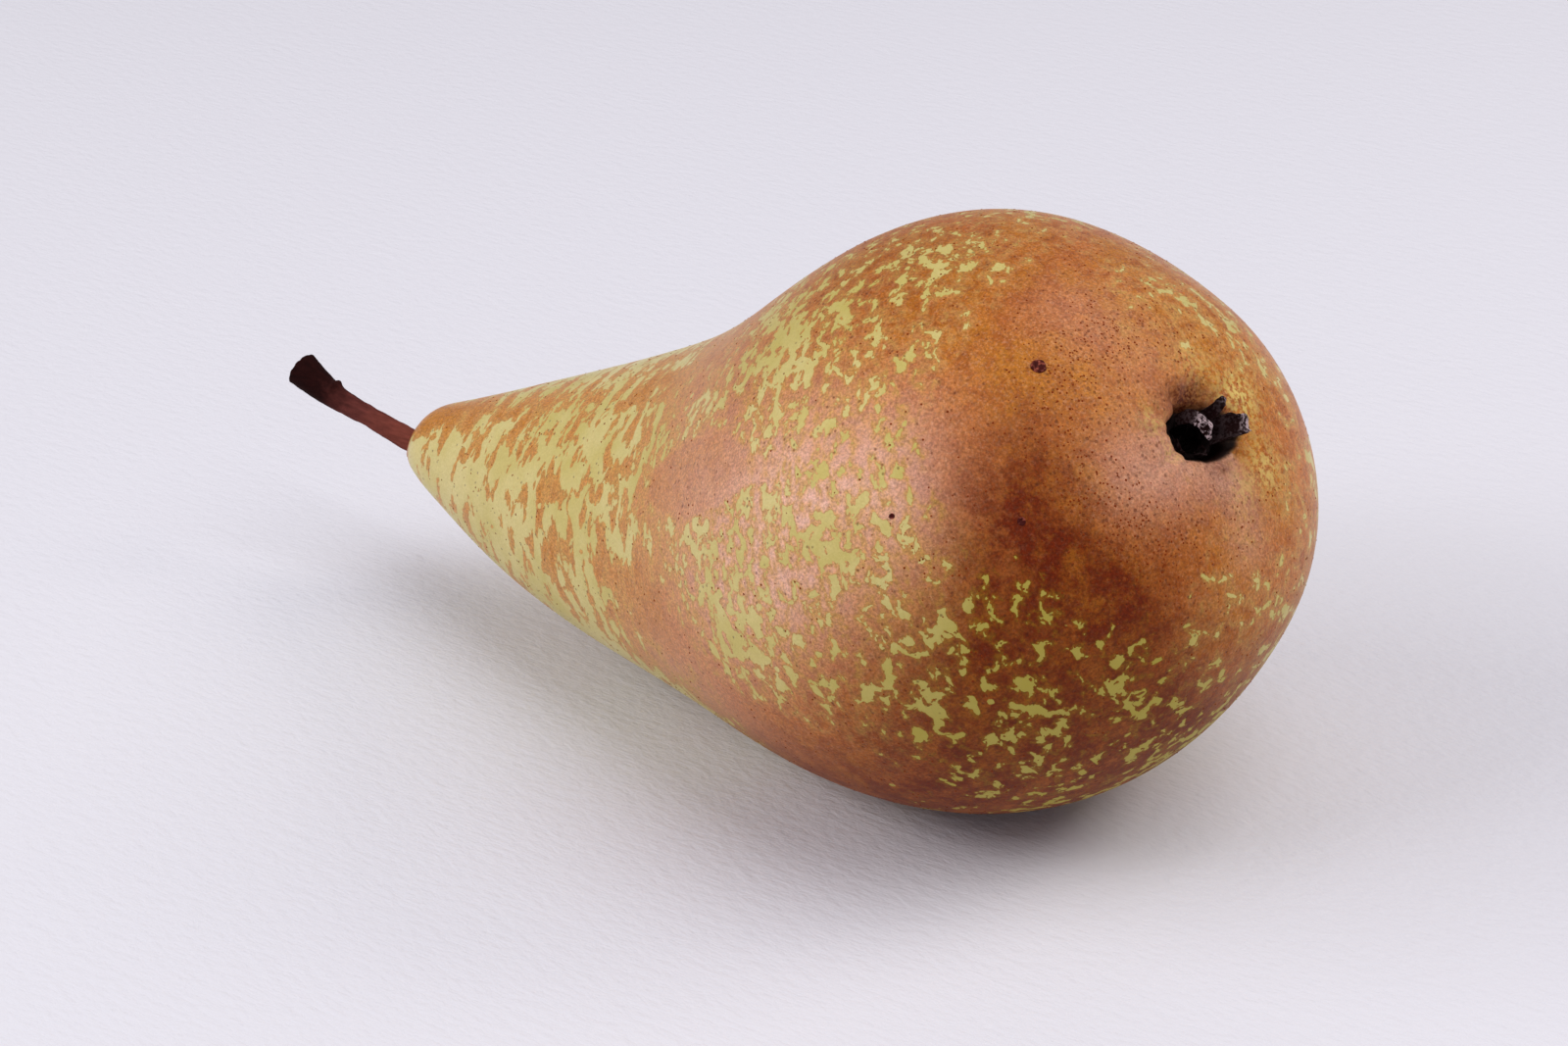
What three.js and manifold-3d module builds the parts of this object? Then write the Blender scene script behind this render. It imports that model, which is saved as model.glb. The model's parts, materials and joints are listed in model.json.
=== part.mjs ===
// A russet pear lying on its side: the fruit, its woody stem and the dried calyx in its cup.
// Millimetres, +Z up. +X runs from the stem end towards the calyx end, and the fruit rests on Z = 0.

import * as THREE from 'three';
import { NURBSCurve } from 'three/addons/curves/NURBSCurve.js';
import { mergeVertices } from 'three/addons/utils/BufferGeometryUtils.js';
import Module from 'manifold-3d';

const rad = THREE.MathUtils.degToRad;
const gap = 0.3; // clearance between two neighbouring solids

// The fruit is a body of revolution swept along an axis that bends upwards in one even arc.
const axisLength = 114; // along the arc, from the stem end to the calyx end
const axisTilt = rad(-4); // slope of the axis where the stem stands
const axisBend = rad(36.5); // how far the axis has turned up at the calyx end
const sectionWiden = 0.04; // share by which the section is wider, and less high, than round
const outline = [
  // control points of a smooth curve: station along the axis, distance from it
  [0, 0],
  [0, 3.7],
  [6.5, 6.3],
  [18.5, 11.8],
  [34, 17.2],
  [50, 21.8],
  [65, 29.2],
  [79, 33.2],
  [92.5, 32],
  [105, 23.8],
  [axisLength, 14.5],
  [axisLength, 0],
];
const fruitRings = 56;
const fruitSides = 60;
const flatDepth = 0.5; // how much of the lowest skin is pressed flat where the fruit rests

// The calyx sits a little off the end of the axis, in a shallow basin with an oval mouth.
const calyxOffset = 4.8; // from the axis, square to it
const calyxTowards = rad(-39); // direction of that offset, from straight up towards -Y
const calyxLean = rad(4.6); // extra lean of the mouth in the same direction
const calyxDrop = 0.2; // how far the mouth's centre lies short of the axis's end
const mouthTurn = rad(-15); // the oval's long axis, turned from level
const mouthStretch = 1.4; // long axis over short axis
const basinRadius = 7;
const basinDepth = 0.9;
const cupRadius = 2.8; // across the short axis
const cupDepth = 5;

// The stem runs from its socket in the neck to a flared end.
const stemRoute = [
  // along X from the fruit's stem end, then up
  [3.4, -1.9],
  [-1.8, -0.95],
  [-7.4, 0.4],
  [-13, 1.7],
  [-17.8, 3.9],
];
const stemRadii = [1.25, 1.35, 1.2, 1.4, 2.2];
const stemRings = 36;
const stemSides = 20;
const knob = { at: 0.77, height: 0.45, reach: 0.04, width: 0.6 }; // share of length, share of radius

// The calyx is a lining in the cup with five dried sepals, of which two are short stubs.
const liningRadius = cupRadius - gap;
const liningWall = 0.7;
const liningTop = -1.1;
const sepalThickness = 0.65;
const sepalRoot = -2.4; // height at which a sepal leaves the lining
const sepalRise = 2.3; // length that stands straight before a sepal bends
const sepals = [
  // turned from the mouth's long axis; leaning outwards, or over the cup where negative
  { turn: rad(-7), length: 6.3, width: 2.2, lean: rad(115) },
  { turn: rad(50), length: 5.3, width: 1.3, lean: rad(80) },
  { turn: rad(97), length: 6.9, width: 1.5, lean: rad(-150) },
  { turn: rad(212), length: 2.2, width: 1.6, lean: 0 },
  { turn: rad(283), length: 1.9, width: 1.7, lean: 0 },
];

const wasm = await Module();
wasm.setup();

// Joins the doubled vertices of a geometry, drops the triangles that this closes up, and
// turns the faces outwards.
function weld(geometry) {
  geometry.deleteAttribute('normal');
  geometry.deleteAttribute('uv');
  const welded = mergeVertices(geometry, 1e-4);
  const corners = welded.index.array;
  const [p, q, r] = [new THREE.Vector3(), new THREE.Vector3(), new THREE.Vector3()];
  const kept = [];
  let volume = 0;
  for (let i = 0; i < corners.length; i += 3) {
    const [a, b, c] = corners.subarray(i, i + 3);
    if (a === b || b === c || c === a) continue;
    kept.push(a, b, c);
    p.fromBufferAttribute(welded.attributes.position, a);
    q.fromBufferAttribute(welded.attributes.position, b);
    r.fromBufferAttribute(welded.attributes.position, c);
    volume += p.dot(q.cross(r));
  }
  if (volume < 0) kept.reverse();
  welded.setIndex(kept);
  return welded;
}

function toSolid(geometry) {
  const welded = weld(geometry);
  const mesh = new wasm.Mesh({
    numProp: 3,
    vertProperties: new Float32Array(welded.attributes.position.array),
    triVerts: new Uint32Array(welded.index.array),
  });
  return new wasm.Manifold(mesh);
}

function toGeometry(solid) {
  const mesh = solid.getMesh();
  const geometry = new THREE.BufferGeometry();
  geometry.setAttribute('position', new THREE.BufferAttribute(mesh.vertProperties, 3));
  geometry.setIndex(new THREE.BufferAttribute(mesh.triVerts, 1));
  geometry.computeVertexNormals();
  return geometry;
}

// Moves every vertex of a geometry to place(x, y, z).
function reshape(geometry, place) {
  const position = geometry.attributes.position;
  for (let i = 0; i < position.count; i++) {
    const moved = place(position.getX(i), position.getY(i), position.getZ(i));
    position.setXYZ(i, moved.x, moved.y, moved.z);
  }
  return geometry;
}

function toPoints(pairs) {
  return pairs.map(([a, b]) => new THREE.Vector2(a, b));
}

// A point given by its station on the bent axis and its distances above and beside the axis.
function fromAxis(station, above, beside) {
  const turn = axisBend / axisLength;
  const slope = axisTilt + turn * station;
  const x = (Math.sin(slope) - Math.sin(axisTilt)) / turn - above * Math.sin(slope);
  const z = (Math.cos(axisTilt) - Math.cos(slope)) / turn + above * Math.cos(slope);
  return new THREE.Vector3(x, beside, z);
}

// The calyx's own frame: x along the oval mouth, y across it, z out of the fruit.
function calyxFrame() {
  const slope = axisTilt + axisBend;
  const above = calyxOffset * Math.cos(calyxTowards);
  const beside = calyxOffset * Math.sin(calyxTowards);
  const centre = fromAxis(axisLength - calyxDrop, above, beside);
  const towards = centre.clone().sub(fromAxis(axisLength - calyxDrop, 0, 0)).normalize();
  const out = new THREE.Vector3(Math.cos(slope), 0, Math.sin(slope));
  out.multiplyScalar(Math.cos(calyxLean)).addScaledVector(towards, Math.sin(calyxLean));
  const level = new THREE.Vector3(0, 0, 1).cross(out).normalize();
  const along = level.applyAxisAngle(out, mouthTurn);
  const across = new THREE.Vector3().crossVectors(out, along);
  centre.addScaledVector(out, -basinDepth);
  return new THREE.Matrix4().makeBasis(along, across, out).setPosition(centre);
}

const calyxPlace = calyxFrame();
const calyxCentre = new THREE.Vector3().setFromMatrixPosition(calyxPlace);
const calyxOut = new THREE.Vector3().setFromMatrixColumn(calyxPlace, 2);

// The skin: the swept outline, sunk in a shallow basin at the calyx.
function fruitSkin(beside, station, above) {
  const point = fromAxis(station, above * (1 - sectionWiden), beside * (1 + sectionWiden));
  const sink = basinDepth * Math.exp(-((point.distanceTo(calyxCentre) / basinRadius) ** 2));
  return point.addScaledVector(calyxOut, -sink);
}

function fruitBody() {
  const control = outline.map(([station, radius]) => new THREE.Vector4(radius, station, 0, 1));
  const spans = outline.length - 3;
  const inner = Array.from({ length: spans - 1 }, (_, i) => (i + 1) / spans);
  const curve = new NURBSCurve(3, [0, 0, 0, 0, ...inner, 1, 1, 1, 1], control);
  const profile = curve.getPoints(fruitRings).map((p) => new THREE.Vector2(p.x, p.y));
  return toSolid(reshape(new THREE.LatheGeometry(profile, fruitSides), fruitSkin));
}

// Turns a (radius, height) profile about the calyx's axis and stretches it to the oval.
function ovalInCup(profile, sides) {
  return reshape(new THREE.LatheGeometry(toPoints(profile), sides), (x, y, z) => {
    return new THREE.Vector3(z * mouthStretch, x, y).applyMatrix4(calyxPlace);
  });
}

// The hollow of the cup, which widens at its mouth. It is cut from well above the skin.
function cupHollow() {
  const profile = [
    [0, -cupDepth],
    [0.6 * cupRadius, 0.15 - cupDepth],
    [0.9 * cupRadius, 1.2 - cupDepth],
    [cupRadius, -1.6],
    [1.1 * cupRadius, -0.7],
    [1.6 * cupRadius, 2.5],
    [0, 2.5],
  ];
  return toSolid(ovalInCup(profile, 32));
}

function stemCurve() {
  const start = fromAxis(0, 0, 0);
  return new THREE.CatmullRomCurve3(
    stemRoute.map(([x, z]) => new THREE.Vector3(start.x + x, 0, start.z + z))
  );
}

// Sweeps a (radius, share of the length) profile along the stem's curve. The knob stands on
// the upper side.
function alongStem(profile, sides) {
  const curve = stemCurve();
  const length = curve.getLength();
  return reshape(new THREE.LatheGeometry(toPoints(profile), sides), (x, share, z) => {
    const on = THREE.MathUtils.clamp(share, 0, 1);
    const tangent = curve.getTangentAt(on);
    const up = new THREE.Vector3(tangent.z, 0, -tangent.x);
    const around = Math.atan2(x, z);
    const away = ((share - knob.at) / knob.reach) ** 2 + (around / knob.width) ** 2;
    const grow = 1 + knob.height * Math.exp(-away);
    const point = curve.getPointAt(on);
    point.addScaledVector(tangent, (share - on) * length).addScaledVector(up, z * grow);
    point.y += x * grow;
    return point;
  });
}

function stemBar() {
  const last = stemRadii.length - 1;
  const spread = new THREE.SplineCurve(stemRadii.map((r, i) => new THREE.Vector2(r, i / last)));
  const sides = spread.getPoints(stemRings).map((p) => [p.x, p.y]);
  return alongStem([[0, 0], ...sides, [0, 1]], stemSides);
}

function stemSocket() {
  const length = stemCurve().getLength();
  const radius = Math.max(...stemRadii.slice(0, 2)) + gap;
  const floor = -gap / length;
  return toSolid(alongStem([[0, floor], [radius, floor], [radius, 0.4], [0, 0.4]], 24));
}

function lining() {
  const inside = liningRadius - liningWall;
  const floor = gap - cupDepth;
  const profile = [
    [0, floor],
    [0.6 * liningRadius, floor + 0.15],
    [0.88 * liningRadius, floor + 1.2],
    [liningRadius, liningTop - 0.6],
    [liningRadius, liningTop],
    [inside, liningTop],
    [0.9 * inside, floor + 1.9],
    [0.5 * inside, floor + liningWall + 0.2],
    [0, floor + liningWall],
  ];
  return toSolid(ovalInCup(profile, 28));
}

// A blunt blade that stands up from the lining and then bends in an arc.
function sepal({ turn, length, width, lean }) {
  const root = liningRadius - liningWall / 2;
  const from = new THREE.Vector3(root * mouthStretch * Math.cos(turn), root * Math.sin(turn), 0);
  const outwards = from.clone().normalize();
  const sideways = new THREE.Vector3(-outwards.y, outwards.x, 0);
  const bending = Math.max(length - sepalRise, 1e-3);
  return reshape(new THREE.BoxGeometry(1, 1, 1, 4, 12, 1), (x, y, z) => {
    const share = y + 0.5;
    const angle = lean * THREE.MathUtils.clamp((share * length - sepalRise) / bending, 0, 1);
    const bent = Math.abs(lean) > 0 ? bending / lean : 0;
    const straight = lean === 0 ? share * length : Math.min(share * length, sepalRise);
    const thick = z * sepalThickness;
    const reach = bent * (1 - Math.cos(angle)) + thick * Math.cos(angle);
    const height = sepalRoot + straight + bent * Math.sin(angle) - thick * Math.sin(angle);
    const half = x * width * (1 + 0.5 * share - 0.75 * share ** 3);
    const point = from.clone().addScaledVector(outwards, reach).addScaledVector(sideways, half);
    point.z += height;
    return point.applyMatrix4(calyxPlace);
  });
}

function finish(name, geometry, color, roughness) {
  const material = new THREE.MeshStandardMaterial({ color, roughness, metalness: 0 });
  const mesh = new THREE.Mesh(geometry, material);
  mesh.name = name;
  return mesh;
}

// The skin below this height is pressed flat.
function pressFlat(solid) {
  const box = new THREE.Box3().setFromBufferAttribute(toGeometry(solid).attributes.position);
  const size = box.getSize(new THREE.Vector3()).addScalar(20);
  const table = new THREE.BoxGeometry(size.x, size.y, size.z);
  const middle = box.getCenter(new THREE.Vector3());
  table.translate(middle.x, middle.y, box.min.z + flatDepth - size.z / 2);
  return solid.subtract(toSolid(table));
}

const fruit = pressFlat(fruitBody()).subtract(cupHollow()).subtract(stemSocket());
const calyx = sepals.reduce((joined, one) => joined.add(toSolid(sepal(one))), lining());

const pear = new THREE.Group();
pear.add(finish('fruit', toGeometry(fruit), '#b27a45', 0.5));
pear.add(finish('stem', weld(stemBar()), '#5c332b', 0.8));
pear.add(finish('calyx', toGeometry(calyx), '#33211f', 0.85));

const bounds = new THREE.Box3().setFromObject(pear);
const middle = bounds.getCenter(new THREE.Vector3());
pear.position.set(-middle.x, -middle.y, -bounds.min.z);

export default pear;
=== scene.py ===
import json
import math

import bmesh
import bpy
import numpy as np
from mathutils import Matrix, Vector

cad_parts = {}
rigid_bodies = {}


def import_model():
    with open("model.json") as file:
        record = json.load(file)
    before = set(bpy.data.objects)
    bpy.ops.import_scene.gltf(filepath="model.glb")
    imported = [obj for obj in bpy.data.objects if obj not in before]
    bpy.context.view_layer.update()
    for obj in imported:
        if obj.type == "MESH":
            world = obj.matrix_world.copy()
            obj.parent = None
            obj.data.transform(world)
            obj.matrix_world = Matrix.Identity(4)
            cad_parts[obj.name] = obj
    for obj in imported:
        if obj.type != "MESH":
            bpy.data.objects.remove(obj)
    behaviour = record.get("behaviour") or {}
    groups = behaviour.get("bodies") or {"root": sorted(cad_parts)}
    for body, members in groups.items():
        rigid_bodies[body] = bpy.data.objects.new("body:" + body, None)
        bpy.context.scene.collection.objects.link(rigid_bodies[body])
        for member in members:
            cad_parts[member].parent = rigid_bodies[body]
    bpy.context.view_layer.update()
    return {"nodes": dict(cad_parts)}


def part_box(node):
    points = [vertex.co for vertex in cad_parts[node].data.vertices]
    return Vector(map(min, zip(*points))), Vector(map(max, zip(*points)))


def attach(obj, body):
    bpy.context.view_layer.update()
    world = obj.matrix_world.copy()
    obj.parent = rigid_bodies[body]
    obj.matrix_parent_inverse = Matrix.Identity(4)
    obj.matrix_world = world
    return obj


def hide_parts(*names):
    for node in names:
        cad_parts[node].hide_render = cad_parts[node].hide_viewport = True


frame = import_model()
print("frame loaded:", ", ".join(sorted(frame["nodes"])))

mm = 0.001


def linear(hexColour):
    # sRGB hex to the linear colour that the nodes take
    parts = [int(hexColour[i:i + 2], 16) / 255 for i in (1, 3, 5)]
    return tuple(c / 12.92 if c <= 0.04045 else ((c + 0.055) / 1.055) ** 2.4 for c in parts) + (1.0,)


def addNode(tree, kind, links=None, **settings):
    # links holds inputs by name or number: a value, or the socket that feeds it
    node = tree.nodes.new(kind)
    for name, value in settings.items():
        setattr(node, name, value)
    for key, value in (links or {}).items():
        if isinstance(value, bpy.types.NodeSocket):
            tree.links.new(value, node.inputs[key])
        else:
            node.inputs[key].default_value = value
    return node


def smoothstep(low, high, value):
    share = np.clip((value - low) / (high - low), 0, 1)
    return share * share * (3 - 2 * share)


def unit(vector):
    return vector / np.linalg.norm(vector)


def evenTurns(count):
    return np.linspace(0, 2 * math.pi, count, endpoint=False)


def sineWaves(turns, rows):
    # rows: how many waves to a turn, where they start, how high they are
    return sum(height * np.sin(count * turns + start) for count, start, height in rows)


def newMaterial(name):
    material = bpy.data.materials.new(name)
    material.use_nodes = True
    material.node_tree.nodes.clear()
    return material, material.node_tree


def closeMaterial(tree, values, relief, height=1.0, strength=1.0):
    # the shader and the output; relief counts in this height, in millimetres
    bump = addNode(tree, "ShaderNodeBump", {
        "Strength": strength, "Distance": height * mm, "Height": relief}).outputs[0]
    shader = addNode(tree, "ShaderNodeBsdfPrincipled", {"Normal": bump, **values}).outputs[0]
    addNode(tree, "ShaderNodeOutputMaterial", {"Surface": shader})


def layColours(tree, colour, layers):
    # layers: how far each covers, how strongly, and its colour
    for cover, strength, tint in layers:
        share = addNode(tree, "ShaderNodeMath", {0: cover, 1: strength}, operation="MULTIPLY").outputs[0]
        colour = addNode(tree, "ShaderNodeMix", {0: share, 6: colour, 7: tint}, data_type="RGBA").outputs[2]
    return colour


def newTree(name, sockets):
    # a geometry tree with its named inputs; returns it with their sockets
    tree = bpy.data.node_groups.new(name, "GeometryNodeTree")
    for title, kind in {"Geometry": "Geometry", **sockets}.items():
        tree.interface.new_socket(name=title, in_out="INPUT", socket_type=f"NodeSocket{kind}")
    tree.interface.new_socket(name="Geometry", in_out="OUTPUT", socket_type="NodeSocketGeometry")
    return tree, addNode(tree, "NodeGroupInput").outputs


def closeTree(tree, shape, material):
    # every tree ends like this: nothing is left as an instance, and all of it gets the one material
    shape = addNode(tree, "GeometryNodeRealizeInstances", {"Geometry": shape}).outputs[0]
    shape = addNode(tree, "GeometryNodeSetMaterial", {"Geometry": shape, "Material": material}).outputs[0]
    addNode(tree, "NodeGroupOutput", {"Geometry": shape})


def applyTree(piece, tree, values):
    # runs the tree on the piece and keeps the result as a plain mesh
    modifier = piece.modifiers.new(tree.name, "NODES")
    modifier.node_group = tree
    for item in tree.interface.items_tree:
        if item.item_type == "SOCKET" and item.in_out == "INPUT" and item.name in values:
            modifier[item.identifier] = values[item.name]
    depsgraph = bpy.context.evaluated_depsgraph_get()
    grown = piece.evaluated_get(depsgraph)
    mesh = bpy.data.meshes.new_from_object(grown, preserve_all_data_layers=True, depsgraph=depsgraph)
    piece.modifiers.remove(modifier)
    plain = piece.data
    piece.data = mesh
    bpy.data.meshes.remove(plain)
    mesh.name = piece.name


def newPiece(name, points, faces, materials=(), edges=()):
    # points in millimetres
    mesh = bpy.data.meshes.new(name)
    mesh.from_pydata([tuple(p) for p in np.asarray(points) * mm], edges, faces)
    shell = bmesh.new()
    shell.from_mesh(mesh)
    bmesh.ops.recalc_face_normals(shell, faces=shell.faces)  # every closed skin faces outwards
    shell.to_mesh(mesh)
    shell.free()
    for material in materials:
        mesh.materials.append(material)
    piece = bpy.data.objects.new(name, mesh)
    bpy.context.scene.collection.objects.link(piece)
    return piece


def addAttribute(mesh, name, values):
    values = np.asarray(values, np.float32)
    kind, field = ("FLOAT", "value") if values.ndim == 1 else ("FLOAT_VECTOR", "vector")
    layer = mesh.attributes.new(name, kind, "POINT")
    layer.data.foreach_set(field, values.ravel())


def closeRings(first, rings, last):
    # the points and faces of a stack of rings, closed by one point before it and one after it
    sides = len(rings[0])
    end = 1 + len(rings) * sides
    faces = []
    for this in range(sides):
        beside = (this + 1) % sides
        faces.append((0, 1 + beside, 1 + this))
        faces.append((end, end - sides + this, end - sides + beside))
        for ring in range(1, end - sides, sides):
            above = ring + sides
            faces.append((ring + this, ring + beside, above + beside, above + this))
    return np.concatenate([[first], *rings, [last]]), faces


def joinShells(shells):
    # the points and faces of several shells as one list of points and one of faces
    faces, count = [], 0
    for shellPoints, shellFaces in shells:
        faces += [tuple(corner + count for corner in face) for face in shellFaces]
        count += len(shellPoints)
    return np.concatenate([shellPoints for shellPoints, _ in shells]), faces


def shadeSmooth(piece):
    piece.data.polygons.foreach_set("use_smooth", [True] * len(piece.data.polygons))


# The body: a smooth outline turned about an axis that bends upwards in one even arc.
body = {
    "axisLength": 114.0,
    "axisTilt": math.radians(-4),
    "axisBend": math.radians(36.5),
    "sectionWiden": 0.04,  # wider than high by this share
    "outline": [  # control points: station along the axis, distance from it
        (0, 0), (0, 3.7), (6.5, 6.3), (18.5, 11.8), (34, 17.2), (50, 21.8), (65, 29.2),
        (79, 33.2), (92.5, 32), (105, 23.8), (114, 14.5), (114, 0),
    ],
    "outlineLength": 141.1,
    "outlinePoints": 600,  # for finding the tip's place
    "ringStep": 0.47,
    "sides": 288,
    "flatDepth": 0.5,  # skin pressed flat where the fruit rests
    "lumpHeight": 0.35,
    "lumpSize": 30.0,
    "dentHeight": 0.07,
    "dentSize": 7.0,
}

# The calyx end: a shallow basin, an oval mouth with a soft lip, and a cup below it.
mouth = {
    "offset": 4.8,  # of the mouth's centre from the axis
    "towards": math.radians(-39),
    "lean": math.radians(4.6),
    "drop": 0.2,
    "turn": math.radians(-15),
    "stretch": 1.4,  # long axis over short axis
    "basinRadius": 7.0,
    "basinDepth": 0.9,
    "bellyStation": 83.0,  # the rings of the cap turn about this point on the axis
    "widestPolar": 1.4,  # a ring's angle from the axis counts no further than this
    "ovalFade": (5.5, 15.0),  # distances from the axis between which the rings turn from oval to round
    "tiltFade": (math.radians(20), math.radians(85)),
    "shapedWithin": 9.0,  # size of the first ring that the mouth shapes
    "ringStep": 0.2,
    "lipOuter": 4.3,  # half of the short axis, where the lip starts to turn in
    "lipInner": 3.0,
    "lipRadius": 1.35,
    "lipRings": 10,
    "lipSteepest": 0.97,  # share of a quarter circle's reach, so that the lip stays short of upright
    "oval": [(1, math.pi / 2, 0.13), (1, 0, 0.1), (5, 0.6, 0.03), (8, 0, 0.02)],
    "shift": -0.03,  # by how much the mouth is smaller than its plain oval
    "ovalReach": (5.0, 8.5),  # where the unevenness fades, by size and by depth
    "ovalDepth": (0.95, 1.35),
    "wall": [  # half of the short axis, depth below the skin
        (2.96, 1.35), (2.92, 1.8), (2.87, 2.4), (2.8, 3.0), (2.68, 3.6),
        (2.45, 4.1), (2.05, 4.5), (1.4, 4.75), (0.7, 4.87),
    ],
    "floorDepth": 4.9,
    "floorGap": 0.03,  # no ring lies lower than this above the floor
    "puckers": [(11, 0, 1.0), (7, 1.3, 0.8), (17, 2, 0.7)],
    "puckerHeight": 0.13,
    "puckersAt": 4.6,
    "puckerReach": 1.9,
    "wornTurn": math.radians(82),  # one side of the mouth slopes down more gently
    "wornSpread": math.radians(34),
    "wornDepth": 1.0,
    "wornReach": (6.4, 3.4),
    "wornEnd": (1.3, 2.4),  # depths between which the cup's wall is whole again
    "cupShadeShift": 1.0,  # the cup's painted shade reaches further out on one side
    "cupShadeAside": -0.2,
    "cupShadeStretch": 1.62,
    "cupShadeEdge": (3.25, 2.75),
    "cupShadeDepth": (0.7, -0.1),
    "cupShadePast": (3.0, 4.2),  # this far along, it also covers the lip
    # painted shade on the mouth's worn slope: how far it spreads round, and its reach
    "slopeShadeSpread": 0.75,
    "slopeShadeReach": (6.2, 4.2),
    "slopeShadeSpot": (1.6, -4.0, 1.8, 0.9, 0.65),  # a spot of painted shade beside the mouth: along and across the mouth, reach of both, strength
    "golden": [  # along and across the mouth, reach, strength
        (7.6, 2.8, 3.0, 1.0), (2.8, 7.0, 2.4, 0.45), (8.2, -4.8, 2.8, 0.75), (-5.8, 2.0, 1.5, 0.55),
        (-4.6, -1.6, 1.2, 0.4), (3.6, -6.6, 2.0, 0.35),
    ],
}

# The stem end: flesh that has grown up round the stalk.
collar = {
    "stemCentre": -1.27,  # height of the stalk's axis above the body's axis, at the tip
    "stemSlope": -0.111,  # its climb for each millimetre towards the calyx
    "holeRadius": 1.45,
    "hole": [(4.0, 1.0), (2.6, 1.0), (1.4, 1.0), (0.6, 0.985), (0.15, 0.97)],  # depth, tightness
    "face": [1.45, 1.6, 1.8, 2.1, 2.45, 2.8, 3.2, 3.6],  # distances from the stalk's axis
    "neckFrom": 4.0,  # distance from the axis where the rings of the neck begin
    "blend": (1.4, 5.2),  # between these the rings come to stand round the body's own axis
    "height": 0.55,
    "highestAt": 1.95,
    "swellReach": 0.55,
    "swellOnTop": 0.35,  # share of the height that is left on the upper side
    "lobes": [(3, 1, 0.25), (5, 0, 0.15)],
}


def fromAxis(station, above, beside):
    # millimetres from where the axis starts, along the row's own X, Y and Z
    turn = body["axisBend"] / body["axisLength"]
    slope = body["axisTilt"] + turn * station
    x = (np.sin(slope) - np.sin(body["axisTilt"])) / turn - above * np.sin(slope)
    z = (np.cos(body["axisTilt"]) - np.cos(slope)) / turn + above * np.cos(slope)
    return np.stack(np.broadcast_arrays(x, beside, z), -1)


def mouthFrame(straight):
    # the mouth's centre and its axes along, across and out of it; straight is before the axis bends
    station = body["axisLength"] - mouth["drop"]
    slope = body["axisTilt"] + body["axisBend"]
    above = mouth["offset"] * math.cos(mouth["towards"])
    beside = mouth["offset"] * math.sin(mouth["towards"])
    if straight:
        centre = np.array([station, beside, above])
        forward, upward = np.array([1.0, 0, 0]), np.array([0, 0, 1.0])
    else:
        centre = fromAxis(station, above, beside)
        forward = np.array([math.cos(slope), 0, math.sin(slope)])
        upward = np.array([-math.sin(slope), 0, math.cos(slope)])
    sideways = np.array([0, 1.0, 0])
    towards = math.cos(mouth["towards"]) * upward + math.sin(mouth["towards"]) * sideways
    out = math.cos(mouth["lean"]) * forward + math.sin(mouth["lean"]) * towards
    vertical = math.sin(slope) * forward + math.cos(slope) * upward
    level = unit(np.cross(vertical, out))
    along = math.cos(mouth["turn"]) * level + math.sin(mouth["turn"]) * np.cross(out, level)
    return centre - mouth["basinDepth"] * out, along, np.cross(out, along), out


def smoothOutline(control, count):
    # points at even steps along the clamped cubic B-spline of the control points
    control = np.array(control, float)
    knots = np.concatenate([[0] * 3, np.linspace(0, 1, len(control) - 2), [1] * 3])
    shares = np.linspace(0, 1 - 1e-9, 6 * count)[:, None]  # just short of 1, where the last span ends
    basis = ((shares >= knots[:-1]) & (shares < knots[1:])).astype(float)
    for degree in (1, 2, 3):
        width = knots[degree:] - knots[:-degree]
        safe = np.where(width > 0, width, 1)
        rise = np.where(width > 0, (shares - knots[:-degree]) / safe, 0)
        fall = np.where(width > 0, (knots[degree:] - shares) / safe, 0)
        basis = rise[:, :-1] * basis[:, :-1] + fall[:, 1:] * basis[:, 1:]
    points = basis @ control
    run = np.concatenate([[0], np.cumsum(np.linalg.norm(np.diff(points, axis=0), axis=1))])
    even = np.linspace(0, run[-1], count)
    return np.stack([np.interp(even, run, points[:, i]) for i in (0, 1)], 1)


def sectionPoint(station, radius, angle):
    # a point of the plain body before it bends: station, beside, above
    above = radius * np.cos(angle) * (1 - body["sectionWiden"])
    beside = radius * np.sin(angle) * (1 + body["sectionWiden"])
    return np.stack(np.broadcast_arrays(station, beside, above), -1)


def neckRing(station, radius, angles):
    ring = sectionPoint(station, radius, angles)
    ring[:, 2] += collar["stemCentre"] * (1 - smoothstep(*collar["blend"], radius))
    return ring


def tipRings(outline, angles):
    # the blunt tip round the stalk, from the bottom of the stalk's hole out to the neck
    rings = []
    for depth, tightness in collar["hole"]:
        radius = collar["holeRadius"] * tightness
        centre = collar["stemCentre"] + collar["stemSlope"] * depth
        across, upwards = radius * np.sin(angles), centre + radius * np.cos(angles)
        rings.append(np.stack(np.broadcast_arrays(depth, across, upwards), -1))
    under = 0.5 - 0.5 * np.cos(angles)
    fold = collar["swellOnTop"] + (1 - collar["swellOnTop"]) * under
    lobes = 1 + sineWaves(angles, collar["lobes"])
    tip = outline[:np.argmax(outline[:, 1] > collar["neckFrom"])]
    for radius in collar["face"]:
        ring = neckRing(np.interp(radius, tip[:, 1], tip[:, 0]), radius, angles)
        swell = np.exp(-((radius - collar["highestAt"]) / collar["swellReach"]) ** 2)
        ring[:, 0] -= collar["height"] * swell * fold * lobes
        rings.append(ring)
    return rings


def bodyRings(outline, angles):
    start = int(np.argmax(outline[:, 1] > collar["neckFrom"]))
    end = int(np.argmax(outline[:, 0] >= mouth["bellyStation"]))
    return [neckRing(station, radius, angles) for station, radius in outline[start:end]]


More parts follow.
